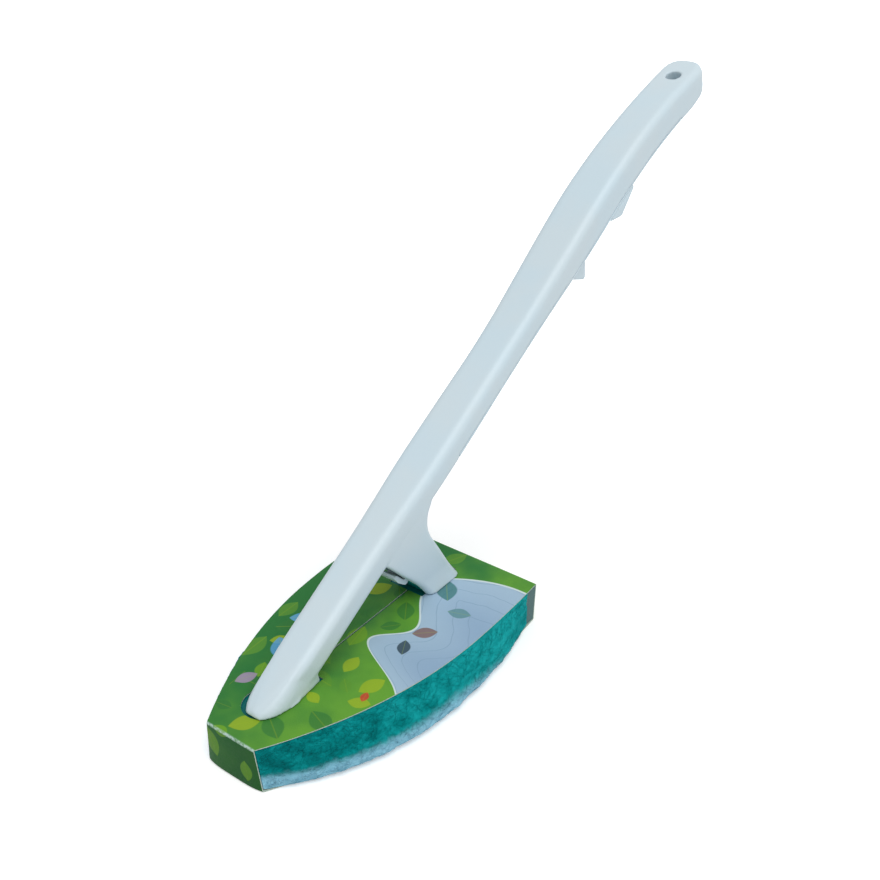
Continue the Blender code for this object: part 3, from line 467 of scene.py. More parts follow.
def tube_faces(bm, rings):
    """Faces between rings of points, and over both ends."""
    for low, high in zip(rings, rings[1:]):
        for k in range(len(low)):
            j = (k + 1) % len(low)
            bm.faces.new((low[k], low[j], high[j], high[k]))
    bm.faces.new(rings[0])
    bm.faces.new(rings[-1])


def strand_path(surface, point, normal, along, step, turn, arch):
    """Places and normals along a strand, up to its last step or the end of the open side."""
    path = []
    for k in range(STRAND_STEPS):
        lift = arch * math.sin(math.pi * k / (STRAND_STEPS - 1)) - STRAND_SINK
        path.append((point + normal * lift, normal.copy()))
        nearest, normal_there, _, _ = surface.find_nearest(point + along * step)
        if nearest is None or open_side(normal_there) < END_OPEN:
            break
        point, normal = nearest, normal_there
        along = along_surface(Matrix.Rotation(turn, 3, normal) @ along, normal)
    return path


def strand_tube(bm, path, tint, shade):
    """A thin tube along a path, with narrower ends and one shade."""
    last = len(path) - 1
    rings = []
    for k, (centre, up) in enumerate(path):
        ahead = (path[min(k + 1, last)][0] - path[max(k - 1, 0)][0]).normalized()
        side = ahead.cross(up).normalized()
        radius = STRAND_RADIUS * (STRAND_TIP if k in (0, last) else 1)
        ring = []
        for corner in range(STRAND_SIDES):
            angle = math.tau * corner / STRAND_SIDES
            out = side * math.cos(angle) + up * math.sin(angle)
            vertex = bm.verts.new(centre + out * radius)
            vertex[tint] = shade
            ring.append(vertex)
        rings.append(ring)
    tube_faces(bm, rings)


def loose_strands(name, webs):
    """Short curved fibres that follow the open sides and stand a little off them."""
    draw = random.Random(STRAND_SEED)
    bm = bmesh.new()
    tint = bm.verts.layers.float.new("tint")
    for web, share in webs:
        mesh = web.data
        surface = BVHTree.FromPolygons([v.co for v in mesh.vertices], [p.vertices for p in mesh.polygons])
        faces = [p for p in mesh.polygons if open_side(p.normal) > START_OPEN]
        for _ in range(int(STRANDS * share)):
            face = draw.choice(faces)
            normal = face.normal.copy()
            slanted = Vector((1, 0, draw.uniform(-STRAND_SLANT, STRAND_SLANT)))
            along = along_surface(slanted, normal) * draw.choice((-1, 1))
            step = draw.uniform(*STEP_LENGTHS)
            turn = draw.uniform(-STRAND_TURN, STRAND_TURN)
            arch = draw.uniform(*STRAND_ARCHES)
            path = strand_path(surface, face.center.copy(), normal, along, step, turn, arch)
            if len(path) >= FEWEST_STEPS:
                strand_tube(bm, path, tint, draw.random() ** SHADE_CURVE)
    bmesh.ops.recalc_face_normals(bm, faces=bm.faces)
    piece = add_to_scene(name, mesh_from(name, bm))
    piece.data.shade_smooth()
    coat(piece, web_look)
    return piece


strands = loose_strands("web_strands", ((fibre_web, FIBRE_WEB_SHARE), (scrub_web, SCRUB_WEB_SHARE)))
place_piece(strands, "head", "teal_fibre")

# Card sleeve: one strip of printed and varnished board, folded round the head at the nose and
# the back and glued underneath. Its folds are worn white, and its cut edges show bare board.
CARD = 0.0006
FOLD = 0.0009
LONG_STEPS = 39
RISE_STEPS = 7
FOLD_STEPS = 6
ACROSS_STEPS = 24
WAVE = 0.00012
WAVE_SCALE = (60, 20, 60)
FLAP_BOW = 0.0012
FLAP_BOW_REACH = 0.01
EAR_LENGTH = 0.0073
EAR_INSET = 0.0001
EAR_GAP = 0.00005
EAR_FOLD_TURNS = (0, 22, 45, 68, 90)
EAR_SHARES = (0.33, 0.66, 1)
PRINTED, BARE, GREY = range(3)


def sleeve_path():
    """X, Z and inward direction round the strip, from the top's back end over the nose and back."""
    low_x, high_x = -HEAD_LENGTH / 2, HEAD_LENGTH / 2
    length, height = HEAD_LENGTH - 2 * FOLD, HEAD_HEIGHT - 2 * FOLD
    long_steps, rise_steps = range(LONG_STEPS + 1), range(RISE_STEPS + 1)
    top = [(high_x - FOLD - length * i / LONG_STEPS, HEAD_HEIGHT, 0, -1) for i in long_steps]
    nose = [(low_x, HEAD_HEIGHT - FOLD - height * i / RISE_STEPS, 1, 0) for i in rise_steps]
    under = [(low_x + FOLD + length * i / LONG_STEPS, 0, 0, 1) for i in long_steps]
    back = [(high_x, FOLD + height * i / RISE_STEPS, -1, 0) for i in rise_steps]

    def fold(x, z, start):
        turns = [math.radians(start + 90 * i / FOLD_STEPS) for i in range(1, FOLD_STEPS)]
        return [(x + FOLD * math.cos(turn), z + FOLD * math.sin(turn), -math.cos(turn), -math.sin(turn))
                for turn in turns]

    return (
        top + fold(low_x + FOLD, HEAD_HEIGHT - FOLD, 90)
        + nose + fold(low_x + FOLD, FOLD, 180)
        + under + fold(high_x - FOLD, FOLD, 270)
        + back + fold(high_x - FOLD, HEAD_HEIGHT - FOLD, 0)
    )


def sheet_faces(bm, flat, grid, along, looks, closed):
    """Both faces of a sheet of card, and walls along its free edges."""
    count, last = len(grid), len(grid[0]) - 1

    def wall(a, b):
        bm.faces.new((a[0], b[0], b[1], a[1])).material_index = BARE

    for i in range(count if closed else count - 1):
        j = (i + 1) % count
        for k in range(last):
            corners = (grid[i][k], grid[i][k + 1], grid[j][k + 1], grid[j][k])
            for layer in (0, 1):
                face = bm.faces.new([corner[layer] for corner in corners])
                face.material_index = looks[layer]
                for loop, place in zip(face.loops, (i, i, i + 1, i + 1)):
                    loop[flat].uv = (HEAD_LENGTH / 2 - FOLD - along[place], loop.vert.co.y)
        for k in (0, last):
            wall(grid[i][k], grid[j][k])
    if not closed:
        for i in (0, count - 1):
            for k in range(last):
                wall(grid[i][k], grid[i][k + 1])


def strip_grid(bm, path):
    """Pairs of outer and inner points of the strip, with its wavy edges and its bowed flap."""
    grid = []
    for x, z, inward_x, inward_z in path:
        half = sleeve_half_width(x, z)
        row = []
        for k in range(ACROSS_STEPS + 1):
            y = half * (2 * k / ACROSS_STEPS - 1)
            free = (abs(y) / half) ** 6
            wave_place = Vector([at * scale for at, scale in zip((x, y, z), WAVE_SCALE)])
            dent = WAVE * (1 + noise.noise(wave_place)) * free
            bow = FLAP_BOW * (1 - (y / half) ** 4) * math.cos(math.pi / 2 * z / HEAD_HEIGHT)
            bow *= max(0, 1 - (x + HEAD_LENGTH / 2) / FLAP_BOW_REACH)
            row.append((
                bm.verts.new((x - bow + inward_x * dent, y, z + inward_z * dent)),
                bm.verts.new((x - bow + inward_x * CARD, y, z + inward_z * CARD)),
            ))
        grid.append(row)
    return grid


def ear_grid(bm, side):
    """Pairs of outer and inner points of an ear, round the back corner and forward along the side."""
    last_turn = len(EAR_FOLD_TURNS) - 1
    back_x = HEAD_LENGTH / 2
    grid = []
    for i in range(RISE_STEPS + 1):
        z = FOLD + (HEAD_HEIGHT - 2 * FOLD) * i / RISE_STEPS
        y = BACK_WIDTH / 2 + BACK_SPREAD * (1 - z / HEAD_HEIGHT) - EAR_INSET
        run = [(back_x - EAR_GAP - FOLD * (1 - math.cos(math.radians(turn))),
                y - FOLD * (1 - math.sin(math.radians(turn)))) for turn in EAR_FOLD_TURNS]
        run += [(back_x - FOLD - (EAR_LENGTH - FOLD) * share, y) for share in EAR_SHARES]
        row = []
        for n, (px, py) in enumerate(run):
            turn = math.radians(90 * min(n, last_turn) / last_turn)
            inner_x, inner_y = px - CARD * math.cos(turn), py - CARD * math.sin(turn)
            row.append((bm.verts.new((px, side * py, z)), bm.verts.new((inner_x, side * inner_y, z))))
        grid.append(row)
    return grid


def make_sleeve(name):
    """The folded strip and its two ears, with the length along the strip kept for the print."""
    path = sleeve_path()
    along = [0.0]
    for (ax, az, _, _), (bx, bz, _, _) in zip(path, path[1:] + path[:1]):
        along.append(along[-1] + math.hypot(bx - ax, bz - az))
    bm = bmesh.new()
    flat = bm.loops.layers.uv.new("print")
    sheet_faces(bm, flat, strip_grid(bm, path), along, (PRINTED, BARE), True)
    for side in (-1, 1):
        sheet_faces(bm, flat, ear_grid(bm, side), along, (GREY, BARE), False)
    bmesh.ops.recalc_face_normals(bm, faces=bm.faces)
    return add_to_scene(name, mesh_from(name, bm))


# Windows: two openings cut through the top of the card, for the toe and the leg, with a slit
# between them. The toe's window ends in a half round in front, where the plate shows.
TOE_X = -0.0685
LEG_FRONT_X = 0.045
SLIT = (0.0016, 0.0024)
TOE_WINDOW_BACK = TOE_X + 0.0365
TOE_WINDOW_SIDES = (-0.0082, 0.0124)
ROUND_X, ROUND_Y = TOE_X + 0.009, 0.0024
ROUND_RADIUS = 0.01
ROUND_STEPS = 24
LEG_WINDOW = (LEG_FRONT_X - 0.004, LEG_FRONT_X + 0.0238)
LEG_WINDOW_SIDES = (-0.007, 0.014)
CUT_REACH = 3 * CARD


def window_outline():
    """The outline of both windows and the slit, as one closed line seen from above."""
    outline = [
        (TOE_WINDOW_BACK, TOE_WINDOW_SIDES[1]),
        (TOE_WINDOW_BACK, SLIT[1]),
        (LEG_WINDOW[0], SLIT[1]),
        (LEG_WINDOW[0], LEG_WINDOW_SIDES[1]),
        (LEG_WINDOW[1], LEG_WINDOW_SIDES[1]),
        (LEG_WINDOW[1], LEG_WINDOW_SIDES[0]),
        (LEG_WINDOW[0], LEG_WINDOW_SIDES[0]),
        (LEG_WINDOW[0], SLIT[0]),
        (TOE_WINDOW_BACK, SLIT[0]),
        (TOE_WINDOW_BACK, TOE_WINDOW_SIDES[0]),
    ]
    for i in range(ROUND_STEPS + 1):
        turn = math.radians(-90 - 180 * i / ROUND_STEPS)
        outline.append((ROUND_X + ROUND_RADIUS * math.cos(turn), ROUND_Y + ROUND_RADIUS * math.sin(turn)))
    return outline


def window_cutter(name, outline):
    """A block through the top of the card, with this outline."""
    bm = bmesh.new()
    heights = (HEAD_HEIGHT - CUT_REACH, HEAD_HEIGHT + CUT_REACH)
    tube_faces(bm, [[bm.verts.new((x, y, z)) for x, y in outline] for z in heights])
    bmesh.ops.recalc_face_normals(bm, faces=bm.faces)
    return add_to_scene(name, mesh_from(name, bm))


# Print: leaves scattered over a soft green ground, and a pale field with faint ripples,
# which a white wavy line parts from the green. It is offset print under a thin varnish.
# The flap over the nose is darkened partly as a darker print and partly as painted shade.
LEAF_GREENS = ((0.3, 0.42, 0.02, 1), (0.1, 0.27, 0.03, 1), (0.03, 0.16, 0.035, 1), (0.16, 0.36, 0.02, 1))
LEAVES = 38
LEAF_SEED = 11
LEAF_TRIES = 4000
LEAF_PLACES = (-0.108, 0.083)
LEAF_SIZES = (0.0045, 0.009)
LEAF_GAP = 0.8
LEAF_FROM_FIELD = 0.6
LEAF_WIDTH = 0.62
LEAF_STRENGTH = 0.72
RIB_STRENGTH = 0.3
FIELD_FLOOR = -0.047

# Rises of the pale field's edge: middle, reach and height of each.
FIELD_LOBES = ((0.0, 0.015, 0.034), (0.048, 0.034, 0.042))

# The field's back edge: its furthest point and how fast it bends away from there.
FIELD_BACK = (0.0725, -0.046, 9.2)

# Leaves that are set on the sleeve's back face: place, size, turn and tint.
BACK_LEAVES = (
    (-0.2745, -0.03, 0.008, 0.6, 0),
    (-0.2835, -0.012, 0.0065, 2.4, 3),
    (-0.273, 0.006, 0.0075, 1.5, 2),
    (-0.2825, 0.021, 0.007, 0.2, 1),
    (-0.276, 0.037, 0.0085, 2.0, 0),
)

# Drops and leaves that float on the pale field and beside it: place, size, turn and colour.
FLOATING = (
    (0.006, -0.024, 0.0052, 0.5, (0.015, 0.035, 0.05, 1)),
    (0.02, -0.0255, 0.0062, 2.3, (0.19, 0.1, 0.08, 1)),
    (0.052, -0.014, 0.0085, 0.7, (0.04, 0.17, 0.17, 1)),
    (0.041, -0.03, 0.006, 1.9, (0.1, 0.24, 0.26, 1)),
    (-0.028, 0.022, 0.0085, 0.9, (0.1, 0.33, 0.58, 1)),
    (-0.006, 0.03, 0.006, 2.2, (0.12, 0.36, 0.6, 1)),
    (-0.052, 0.021, 0.0055, 2.7, (0.33, 0.26, 0.38, 1)),
    (-0.03, -0.031, 0.0032, 0.3, (0.5, 0.03, 0.03, 1)),
)
FLOATING_STRENGTH = 0.85
GROUND_NEAR = (0.12, 0.32, 0.034, 1)
GROUND_FAR = (0.022, 0.155, 0.035, 1)
GROUND_CLOUD_SIZE = 0.02
GROUND_FALL = -12.0
GROUND_DARKER_BETWEEN = (0.05, 0.08)
GROUND_DARKER_BY = 0.35
# The nose flap's dark green and its shares stand partly for a darker print and partly for painted shade.
FLAP_PRINT_AND_SHADE_GREEN = (0.003, 0.075, 0.014, 1)
FLAP_SHADE_BETWEEN = (-0.008, 0.013)
FLAP_SHADES = (0.85, 0.55)
FLAP_SHADE_OVER_LEAVES = 0.25
FOLD_BLEND = 0.001
PALE_FIELD = (0.33, 0.46, 0.58, 1)
PALE_FIELD_DEEP = (0.25, 0.37, 0.51, 1)
FIELD_DEPTH = 0.04
RIPPLE = (0.17, 0.27, 0.38, 1)
RIPPLES_PER_METRE = 105.0
RIPPLE_WAVER = 0.8
RIPPLE_STRENGTH = 0.5
BORDER_WHITE = (0.6, 0.7, 0.7, 1)
BORDER_HALF_WIDTHS = (0.0004, 0.0007)
BORDER_STRENGTH = 0.9
WORN_WHITE = (0.45, 0.6, 0.55, 1)
WEAR_SIZE = 0.0016
WEAR_REACHES = (0.0002, 0.0011)
WEAR_LEAST = 0.25
VARNISH_ROUGHNESS = (0.36, 0.5)
VARNISH_SHINE = 0.1
BOARD_GRAIN_SIZE = 0.0007
BOARD_RISE = 0.00005


def field_edge(x):
    """Y of the pale field's edge at a place along the head."""
    return FIELD_FLOOR + sum(rise * math.exp(-(((x - at) / reach) ** 2)) for at, reach, rise in FIELD_LOBES)


def leaf_table():
    """Places, sizes, turns and tints of the leaves, kept off the pale field and each other."""
    draw = random.Random(LEAF_SEED)
    table = []
    for _ in range(LEAF_TRIES):
        if len(table) == LEAVES:
            break
        x = draw.uniform(*LEAF_PLACES)
        reach = top_half_width(x)
        y = draw.uniform(-reach, reach)
        size = draw.uniform(*LEAF_SIZES)
        if y - size * LEAF_FROM_FIELD < field_edge(x):
            continue
        if any(math.hypot(x - a, y - b) < LEAF_GAP * (size + c) for a, b, c, _, _ in table):
            continue
        table.append((x, y, size, draw.uniform(0, math.pi), draw.randrange(len(LEAF_GREENS))))
    return table


def print_leaf(tree, flat, colour, leaf, tint, strength):
    """A pointed leaf with a lighter rib, over what is already printed."""
    at_x, at_y, size, turn = leaf
    placing = {
        "Vector": flat,
        "Location": (at_x, at_y, 0),
        "Rotation": (0, 0, turn),
        "Scale": (size, size * LEAF_WIDTH, 1),
    }
    along = node(tree, "SeparateXYZ", {0: node(tree, "Mapping", placing, vector_type="TEXTURE")})
    across = sums(tree, "ABSOLUTE", along.node.outputs["Y"])
    shape = sums(tree, "ADD", sums(tree, "MULTIPLY", along, along), across)
    inside = between(tree, shape, 0.9, 1.06, strength, 0.0)
    rib = sums(tree, "MULTIPLY", between(tree, across, 0.03, 0.07, RIB_STRENGTH, 0.0), inside)
    return blend_colours(tree, rib, blend_colours(tree, inside, colour, tint), LEAF_GREENS[0])


def depth_in_field(tree, x, y):
    """How far a place lies inside the pale field, in metres."""
    edge = FIELD_FLOOR
    for at, reach, rise in FIELD_LOBES:
        from_middle = sums(tree, "DIVIDE", sums(tree, "SUBTRACT", x, at), reach)
        squared = sums(tree, "MULTIPLY", from_middle, from_middle)
        lobe = sums(tree, "EXPONENT", sums(tree, "MULTIPLY", squared, -1.0))
        edge = sums(tree, "ADD", edge, sums(tree, "MULTIPLY", lobe, rise))
    back_x, back_y, back_bend = FIELD_BACK
    aside = sums(tree, "SUBTRACT", y, back_y)
    bend = sums(tree, "MULTIPLY", sums(tree, "MULTIPLY", aside, aside), back_bend)
    before_back = sums(tree, "SUBTRACT", sums(tree, "SUBTRACT", back_x, bend), x)
    return sums(tree, "MINIMUM", sums(tree, "SUBTRACT", edge, y), before_back)


def near_fold(tree, x, fold_x):
    """1 at a fold of the card and 0 a little away from it."""
    away = sums(tree, "ABSOLUTE", sums(tree, "SUBTRACT", x, fold_x))
    return between(tree, away, *WEAR_REACHES, 1.0, 0.0)


def printed_board():
    """The printed face of the card, with wear along its folds and painted shade on the nose flap."""
    made, tree, shader, _ = new_finish("printed_board")
    flat = node(tree, "UVMap", uv_map="print")
    x = node(tree, "SeparateXYZ", {0: flat})
    y = x.node.outputs["Y"]
    nose, back = -HEAD_LENGTH / 2, HEAD_LENGTH / 2

    # The green ground, lighter on the near side, and the darker flap over the nose: partly a darker
    # print and partly painted shade, heavier towards the flap's near side.
    cloud = speckle(tree, flat, GROUND_CLOUD_SIZE, 2.0)
    lit = sums(tree, "ADD", sums(tree, "MULTIPLY", y, GROUND_FALL), cloud)
    darker = between(tree, x, *GROUND_DARKER_BETWEEN, 0.0, GROUND_DARKER_BY)
    lit = sums(tree, "SUBTRACT", lit, darker)
    colour = blend_colours(tree, between(tree, lit, 0.1, 1.0), GROUND_FAR, GROUND_NEAR)
    past_fold = between(tree, x, nose - FOLD_BLEND, nose, 1.0, 0.0)
    before_end = between(tree, x, nose - HEAD_HEIGHT - FOLD_BLEND, nose - HEAD_HEIGHT)
    on_flap = sums(tree, "MULTIPLY", past_fold, before_end)
    shaded = sums(tree, "MULTIPLY", on_flap, between(tree, y, *FLAP_SHADE_BETWEEN, *FLAP_SHADES))
    colour = blend_colours(tree, shaded, colour, FLAP_PRINT_AND_SHADE_GREEN)
    for *leaf, tint in (*leaf_table(), *BACK_LEAVES):
        colour = print_leaf(tree, flat, colour, leaf, LEAF_GREENS[tint], LEAF_STRENGTH)

    # The pale field on the top, its ripples and its white edge.
    inside = depth_in_field(tree, x, y)
    waver = sums(tree, "MULTIPLY", cloud, RIPPLE_WAVER)
    ripple_at = sums(tree, "ADD", sums(tree, "MULTIPLY", inside, RIPPLES_PER_METRE), waver)
    ripple = sums(tree, "ABSOLUTE", sums(tree, "SUBTRACT", sums(tree, "FRACT", ripple_at), 0.5))
    faint = between(tree, ripple, 0.0, 0.05, RIPPLE_STRENGTH, 0.0)
    pale = blend_colours(tree, between(tree, inside, 0.0, FIELD_DEPTH), PALE_FIELD, PALE_FIELD_DEEP)
    pale = blend_colours(tree, faint, pale, RIPPLE)
    on_top = between(tree, x, nose, nose + FOLD_BLEND)
    in_field = sums(tree, "MULTIPLY", between(tree, inside, -0.0001, 0.0001), on_top)
    colour = blend_colours(tree, in_field, colour, pale)
    on_line = between(tree, sums(tree, "ABSOLUTE", inside), *BORDER_HALF_WIDTHS, BORDER_STRENGTH, 0.0)
    colour = blend_colours(tree, sums(tree, "MULTIPLY", on_line, on_top), colour, BORDER_WHITE)
    for *leaf, tint in FLOATING:
        colour = print_leaf(tree, flat, colour, leaf, tint, FLOATING_STRENGTH)
    # More painted shade over the flap, laid over its leaves too.
    colour = blend_colours(tree, sums(tree, "MULTIPLY", on_flap, FLAP_SHADE_OVER_LEAVES), colour, FLAP_PRINT_AND_SHADE_GREEN)

    # Wear that lets the board through along both folds, and the varnish.
    wear = speckle(tree, flat, WEAR_SIZE, 4.0, 0.7)
    folds = sums(tree, "MAXIMUM", near_fold(tree, x, nose), near_fold(tree, x, back))
    rubbed = sums(tree, "MULTIPLY", folds, between(tree, wear, 0.38, 0.55, WEAR_LEAST, 1.0))
    tree.links.new(blend_colours(tree, rubbed, colour, WORN_WHITE), shader.inputs["Base Color"])
    tree.links.new(between(tree, wear, 0.3, 0.7, *VARNISH_ROUGHNESS), shader.inputs["Roughness"])
    shader.inputs["Specular IOR Level"].default_value = VARNISH_SHINE
    height = sums(tree, "ADD", speckle(tree, flat, BOARD_GRAIN_SIZE), rubbed)
    raised(tree, shader, height, BOARD_RISE)
    return made


BARE_BOARD = ((0.3, 0.38, 0.33, 1), (0.5, 0.6, 0.52, 1))
GREY_BOARD = ((0.05, 0.125, 0.13, 1), (0.1, 0.16, 0.16, 1))
PULP_SIZE = 0.0006
PULP_ROUGHNESS = 0.85
PULP_RISE = 0.0001


def bare_board(name, dark, light):
    """Cut edges and unprinted faces of the card: pulp with fine flecks."""
    made, tree, shader, place = new_finish(name)
    pulp = speckle(tree, place, PULP_SIZE, 4.0, 0.7)
    tint = blend_colours(tree, between(tree, pulp, 0.3, 0.7), dark, light)
    tree.links.new(tint, shader.inputs["Base Color"])
    shader.inputs["Roughness"].default_value = PULP_ROUGHNESS
    raised(tree, shader, pulp, PULP_RISE)
    return made


UPRIGHT = 0.3
SIDEWAYS = 0.7
CARD_SHARP_TURN = math.radians(50)


def cut_and_bare(piece):
    """Cuts the windows, and gives the cut walls and side edges the look of bare board."""
    cutter = window_cutter("window_cutter", window_outline())
    cutting = piece.modifiers.new("windows", "BOOLEAN")
    cutting.object = cutter
    cutting.operation = "DIFFERENCE"
    cutting.solver = "EXACT"
    settle(piece)
    bpy.data.objects.remove(cutter)
    for face in piece.data.polygons:
        cut_wall = abs(face.normal.z) < UPRIGHT and face.center.z > HEAD_HEIGHT - CARD - 0.0001
        at_fold = abs(abs(face.center.x) - HEAD_LENGTH / 2) < FOLD
        side_edge = abs(face.normal.y) > SIDEWAYS
        if face.material_index == PRINTED and (side_edge or (cut_wall and not at_fold)):
            face.material_index = BARE


sleeve = make_sleeve("printed_sleeve")
for look in (
    printed_board(),
    bare_board("bare_board", *BARE_BOARD),
    bare_board("grey_board", *GREY_BOARD),
):
    sleeve.data.materials.append(look)
cut_and_bare(sleeve)
sleeve.data.shade_smooth()
sleeve.data.set_sharp_from_angle(angle=CARD_SHARP_TURN)
place_piece(sleeve, "head", "green_card", "card_sleeve")

# Handle: one hollow moulding in white polypropylene, with a satin surface, from the boat-shaped
# toe to the knob with the hang hole. Its edges are soft, and the leg grows out of the stalk.
WHITE_PLASTIC = (0.545, 0.665, 0.73, 1)
WHITE_PLASTIC_WARM = (0.565, 0.665, 0.715, 1)
WHITE_SURFACE = {"roughness": 0.4, "grain_depth": 0.00003, "shine": 0.45}
HANDLE_CELL = 0.0006
HANDLE_ROUNDS = 8
SOFTENING = 0.5
FACES_KEPT = 0.4
white_plastic = moulded_plastic("white_polypropylene", WHITE_PLASTIC, WHITE_PLASTIC_WARM, **WHITE_SURFACE)


def smooth_moulding(name, source, cell, rounds, added=None):
    """A moulded node and what is added to it as one skin, with joins and corners softened."""
    bm = bmesh.new()
    bm.from_mesh(cad[source].data)
    if added:
        bm.from_mesh(added)
    piece = add_to_scene(name, mesh_from(name, bm))
    add_skin(piece, cell)
    soft = piece.modifiers.new("soft", "SMOOTH")
    soft.factor = SOFTENING
    soft.iterations = rounds
    piece.modifiers.new("fewer", "DECIMATE").ratio = FACES_KEPT
    settle(piece)
    piece.data.shade_smooth()
    return piece


# The toe's bow is fuller than the moulding under it. Its half widths are given along the toe,
# at the card and at the top face, and its rings lean back with the stalk.
DECK = 0.0238
TOE_LIFT = 0.0025
STALK_SLOPE = 0.582
BOW_FROM_TIP = (-0.0005, 0.0001, 0.003, 0.0063, 0.011, 0.0165, 0.0243, 0.0335)
BOW_AT_DECK = (0.0028, 0.0046, 0.0071, 0.0087, 0.0097, 0.01, 0.0096, 0.0086)
TOP_FROM_TIP = (0.0, 0.0038, 0.0099, 0.0205, 0.0335)
BOW_AT_TOP = (0.0012, 0.0028, 0.005, 0.0067, 0.0072)
BOW_START = -0.0005
BOW_LEAN = 0.0002
BOW_UNDER_TOP = 0.0004
BOW_HEEL = 0.0335
HEEL_SLOPE = 0.3
BOW_HEIGHT = 0.016
BOW_RINGS = 12
BOW_STEPS = 12
BOW_CROWDING = 1.6


def toe_bow():
    """The boat-shaped bow of the toe: level rings from the card up to just under the top face."""
    bm = bmesh.new()
    rings = []
    for i in range(BOW_RINGS + 1):
        up = BOW_HEIGHT * i / BOW_RINGS
        front = max(BOW_START + BOW_LEAN * i, (up - TOE_LIFT + BOW_UNDER_TOP) / STALK_SLOPE)
        rear = BOW_HEEL - HEEL_SLOPE * up
        near = []
        for k in range(BOW_STEPS + 1):
            x = front + (rear - front) * (k / BOW_STEPS) ** BOW_CROWDING
            share = min(up / (TOE_LIFT + max(x, 0) * STALK_SLOPE), 1)
            low = np.interp(x, BOW_FROM_TIP, BOW_AT_DECK)
            high = np.interp(x, TOP_FROM_TIP, BOW_AT_TOP)
            y = high + (low - high) * math.sqrt(1 - share ** 2)
            near.append((TOE_X + x, -float(y), DECK + up))
        ring = near + [(x, -y, z) for x, y, z in reversed(near)]
        rings.append([bm.verts.new(point) for point in ring])
    tube_faces(bm, rings)
    bmesh.ops.recalc_face_normals(bm, faces=bm.faces)
    return mesh_from("toe_bow", bm)


handle = smooth_moulding("white_handle", "handle_body", HANDLE_CELL, HANDLE_ROUNDS, toe_bow())
coat(handle, white_plastic)
place_piece(handle, "handle", "white_plastic", "handle_body")

# Grip cover: the underside of the grip with its two finger steps, clipped in along a fine seam.
# A raised tongue inside its rim closes the seam behind the visible groove.
COVER_CELL = 0.0005
COVER_ROUNDS = 3
GROOVE_DEPTH = 0.001
COVER_TONGUE_RAMP = 0.0006
COVER_TONGUE_HEIGHT = 0.0005
SLICE = 0.003
FACING_UP = 0.7
cover = smooth_moulding("white_grip_cover", "grip_cover", COVER_CELL, COVER_ROUNDS)
half_widths = {}
for vertex in cover.data.vertices:
    at = int(vertex.co.x // SLICE)
    half_widths[at] = max(half_widths.get(at, 0), abs(vertex.co.y))
cover_start, cover_end = (pick(v.co.x for v in cover.data.vertices) for pick in (min, max))


def raise_tongue(place, normal):
    """Lifts the cover's upper face, except in a rim as wide as the groove is deep."""
    if normal.z < FACING_UP:
        return place.copy()
    from_side = half_widths[int(place.x // SLICE)] - abs(place.y)
    inside = min(from_side, place.x - cover_start, cover_end - place.x)
    share = stopped((inside - GROOVE_DEPTH) / COVER_TONGUE_RAMP)
    return place + normal * COVER_TONGUE_HEIGHT * share


push(cover.data, raise_tongue)
coat(cover, white_plastic)
place_piece(cover, "handle", "white_plastic", "grip_cover")

# Release rocker: the white lever in the leg, moulded in the handle's plastic. It turns on
# a steel pin, and a finger pulls its curled tab from inside the arch.
ROCKER_EDGE = 0.00035
rocker = moulded_copy("white_rocker", "release_rocker", ROCKER_EDGE)
coat(rocker, white_plastic)
place_piece(rocker, "rocker", "white_plastic", "release_rocker")

# Pin and torsion spring: bright drawn steel, inside the leg behind the rocker.
# The pin is cut from bar, and the spring is wound from wire round it.
STEEL = ((0.58, 0.58, 0.6, 1), (0.42, 0.42, 0.45, 1))
STEEL_SPOT_SIZE = 0.002
STEEL_LINE_SIZE = 0.0003
STEEL_LINE_STRETCH = (1, 0.1, 1)
STEEL_ROUGHNESS = (0.2, 0.38)
STEEL_RISE = 0.00002


def drawn_steel():
    """Bright drawn wire and pin stock, with fine lines along it and a few dull spots."""
    made, tree, shader, place = new_finish("drawn_steel")
    lines = speckle(tree, place, STEEL_LINE_SIZE, 3.0, 0.6, STEEL_LINE_STRETCH)
    spots = speckle(tree, place, STEEL_SPOT_SIZE)
    tint = blend_colours(tree, between(tree, spots, 0.3, 0.7), *STEEL)
    tree.links.new(tint, shader.inputs["Base Color"])
    tree.links.new(between(tree, lines, 0.3, 0.7, *STEEL_ROUGHNESS), shader.inputs["Roughness"])
    shader.inputs["Metallic"].default_value = 1
    raised(tree, shader, lines, STEEL_RISE)
    return made


steel = drawn_steel()
for name in ("rocker_pin", "rocker_spring"):
    for slot in cad[name].material_slots:
        slot.material = steel

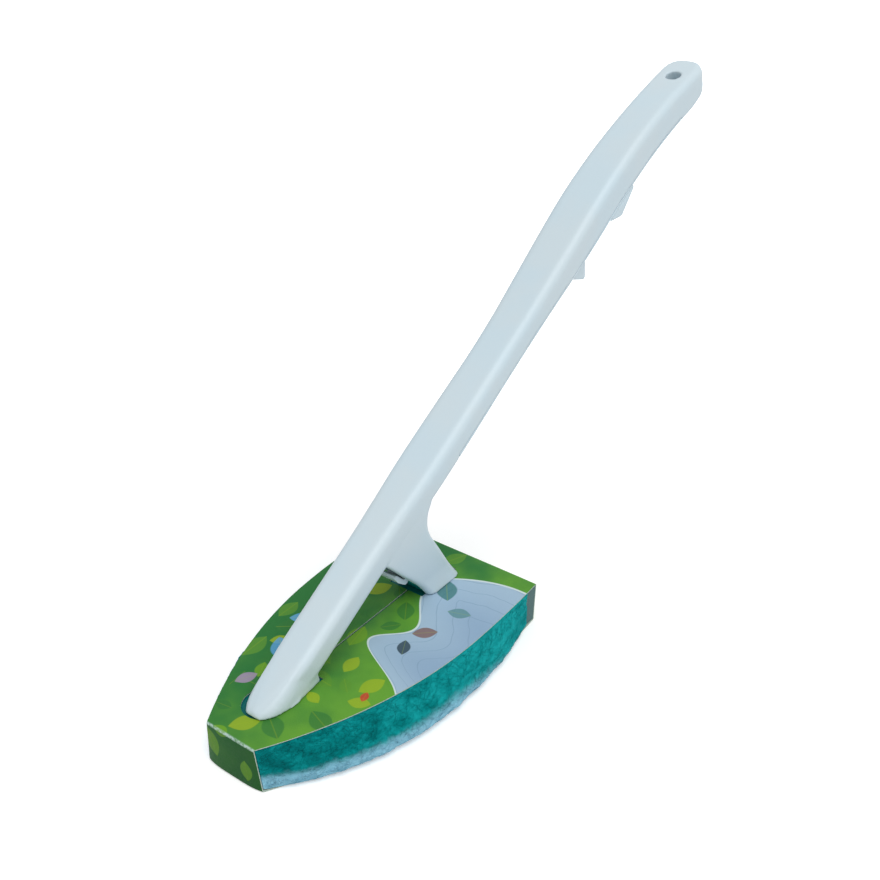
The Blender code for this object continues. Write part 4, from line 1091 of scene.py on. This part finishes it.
# Floor: a plain pale sheet under the head, which takes the brush's soft shadow.
# It glows white where the camera sees it, and less close to the brush, to keep the shadow.
FLOOR_REACH = 6
FLOOR_CELLS = 8
FLOOR_DROP = 0.0002
PAPER = ((0.88, 0.89, 0.9, 1), (0.9, 0.9, 0.9, 1))
PAPER_CLOUD_SIZE = 0.4
PAPER_ROUGHNESS = 0.9
PAPER_SHINE = 0.1
GLOW_MIDDLE = (0.05, 0, 0)
GLOW_BETWEEN = (0.07, 0.3)
GLOW_STRENGTHS = (0.2, 1.0)
WHITE = (1, 1, 1, 1)
bm = bmesh.new()
bmesh.ops.create_grid(bm, x_segments=FLOOR_CELLS, y_segments=FLOOR_CELLS, size=FLOOR_REACH)
floor = add_to_scene("floor", mesh_from("floor", bm))
floor.location = (0, 0, -FLOOR_DROP)
paper, tree, shader, place = new_finish("pale_paper")
shader.inputs["Roughness"].default_value = PAPER_ROUGHNESS
shader.inputs["Specular IOR Level"].default_value = PAPER_SHINE
clouds = blend_colours(tree, speckle(tree, place, PAPER_CLOUD_SIZE), *PAPER)
tree.links.new(clouds, shader.inputs["Base Color"])
seen = node(tree, "LightPath")
from_brush = node(tree, "VectorMath", {0: place, 1: GLOW_MIDDLE}, out=1, operation="DISTANCE")
glow = between(tree, from_brush, *GLOW_BETWEEN, *GLOW_STRENGTHS)
tree.links.new(sums(tree, "MULTIPLY", seen, glow), shader.inputs["Emission Strength"])
shader.inputs["Emission Color"].default_value = WHITE
coat(floor, paper)

# Light: a white room, and a broad soft light from above that leans to the viewer's side.
# The room is full white where the camera or a gloss sees it, and dimmer where it only lights.
ROOM_LIGHT = 0.46
SUN_STRENGTH = 1.98
SUN_SPREAD = math.radians(60)
SUN_FROM = (-0.12, -0.4, 0.91)
world = bpy.data.worlds.new("white_room")
bpy.context.scene.world = world
world.use_nodes = True
tree = world.node_tree
rays = node(tree, "LightPath")
seen = sums(tree, "MAXIMUM", rays, rays.node.outputs["Is Glossy Ray"])
seen = sums(tree, "MAXIMUM", seen, rays.node.outputs["Is Transmission Ray"])
room = tree.nodes["Background"]
tree.links.new(between(tree, seen, 0.0, 1.0, ROOM_LIGHT, 1.0), room.inputs["Strength"])
room.inputs["Color"].default_value = WHITE

overhead = bpy.data.lights.new("overhead", "SUN")
overhead.energy = SUN_STRENGTH
overhead.angle = SUN_SPREAD
lamp = add_to_scene("overhead", overhead)
lamp.rotation_euler = Vector(SUN_FROM).to_track_quat("Z", "Y").to_euler()

bpy.context.scene.view_settings.view_transform = "Standard"
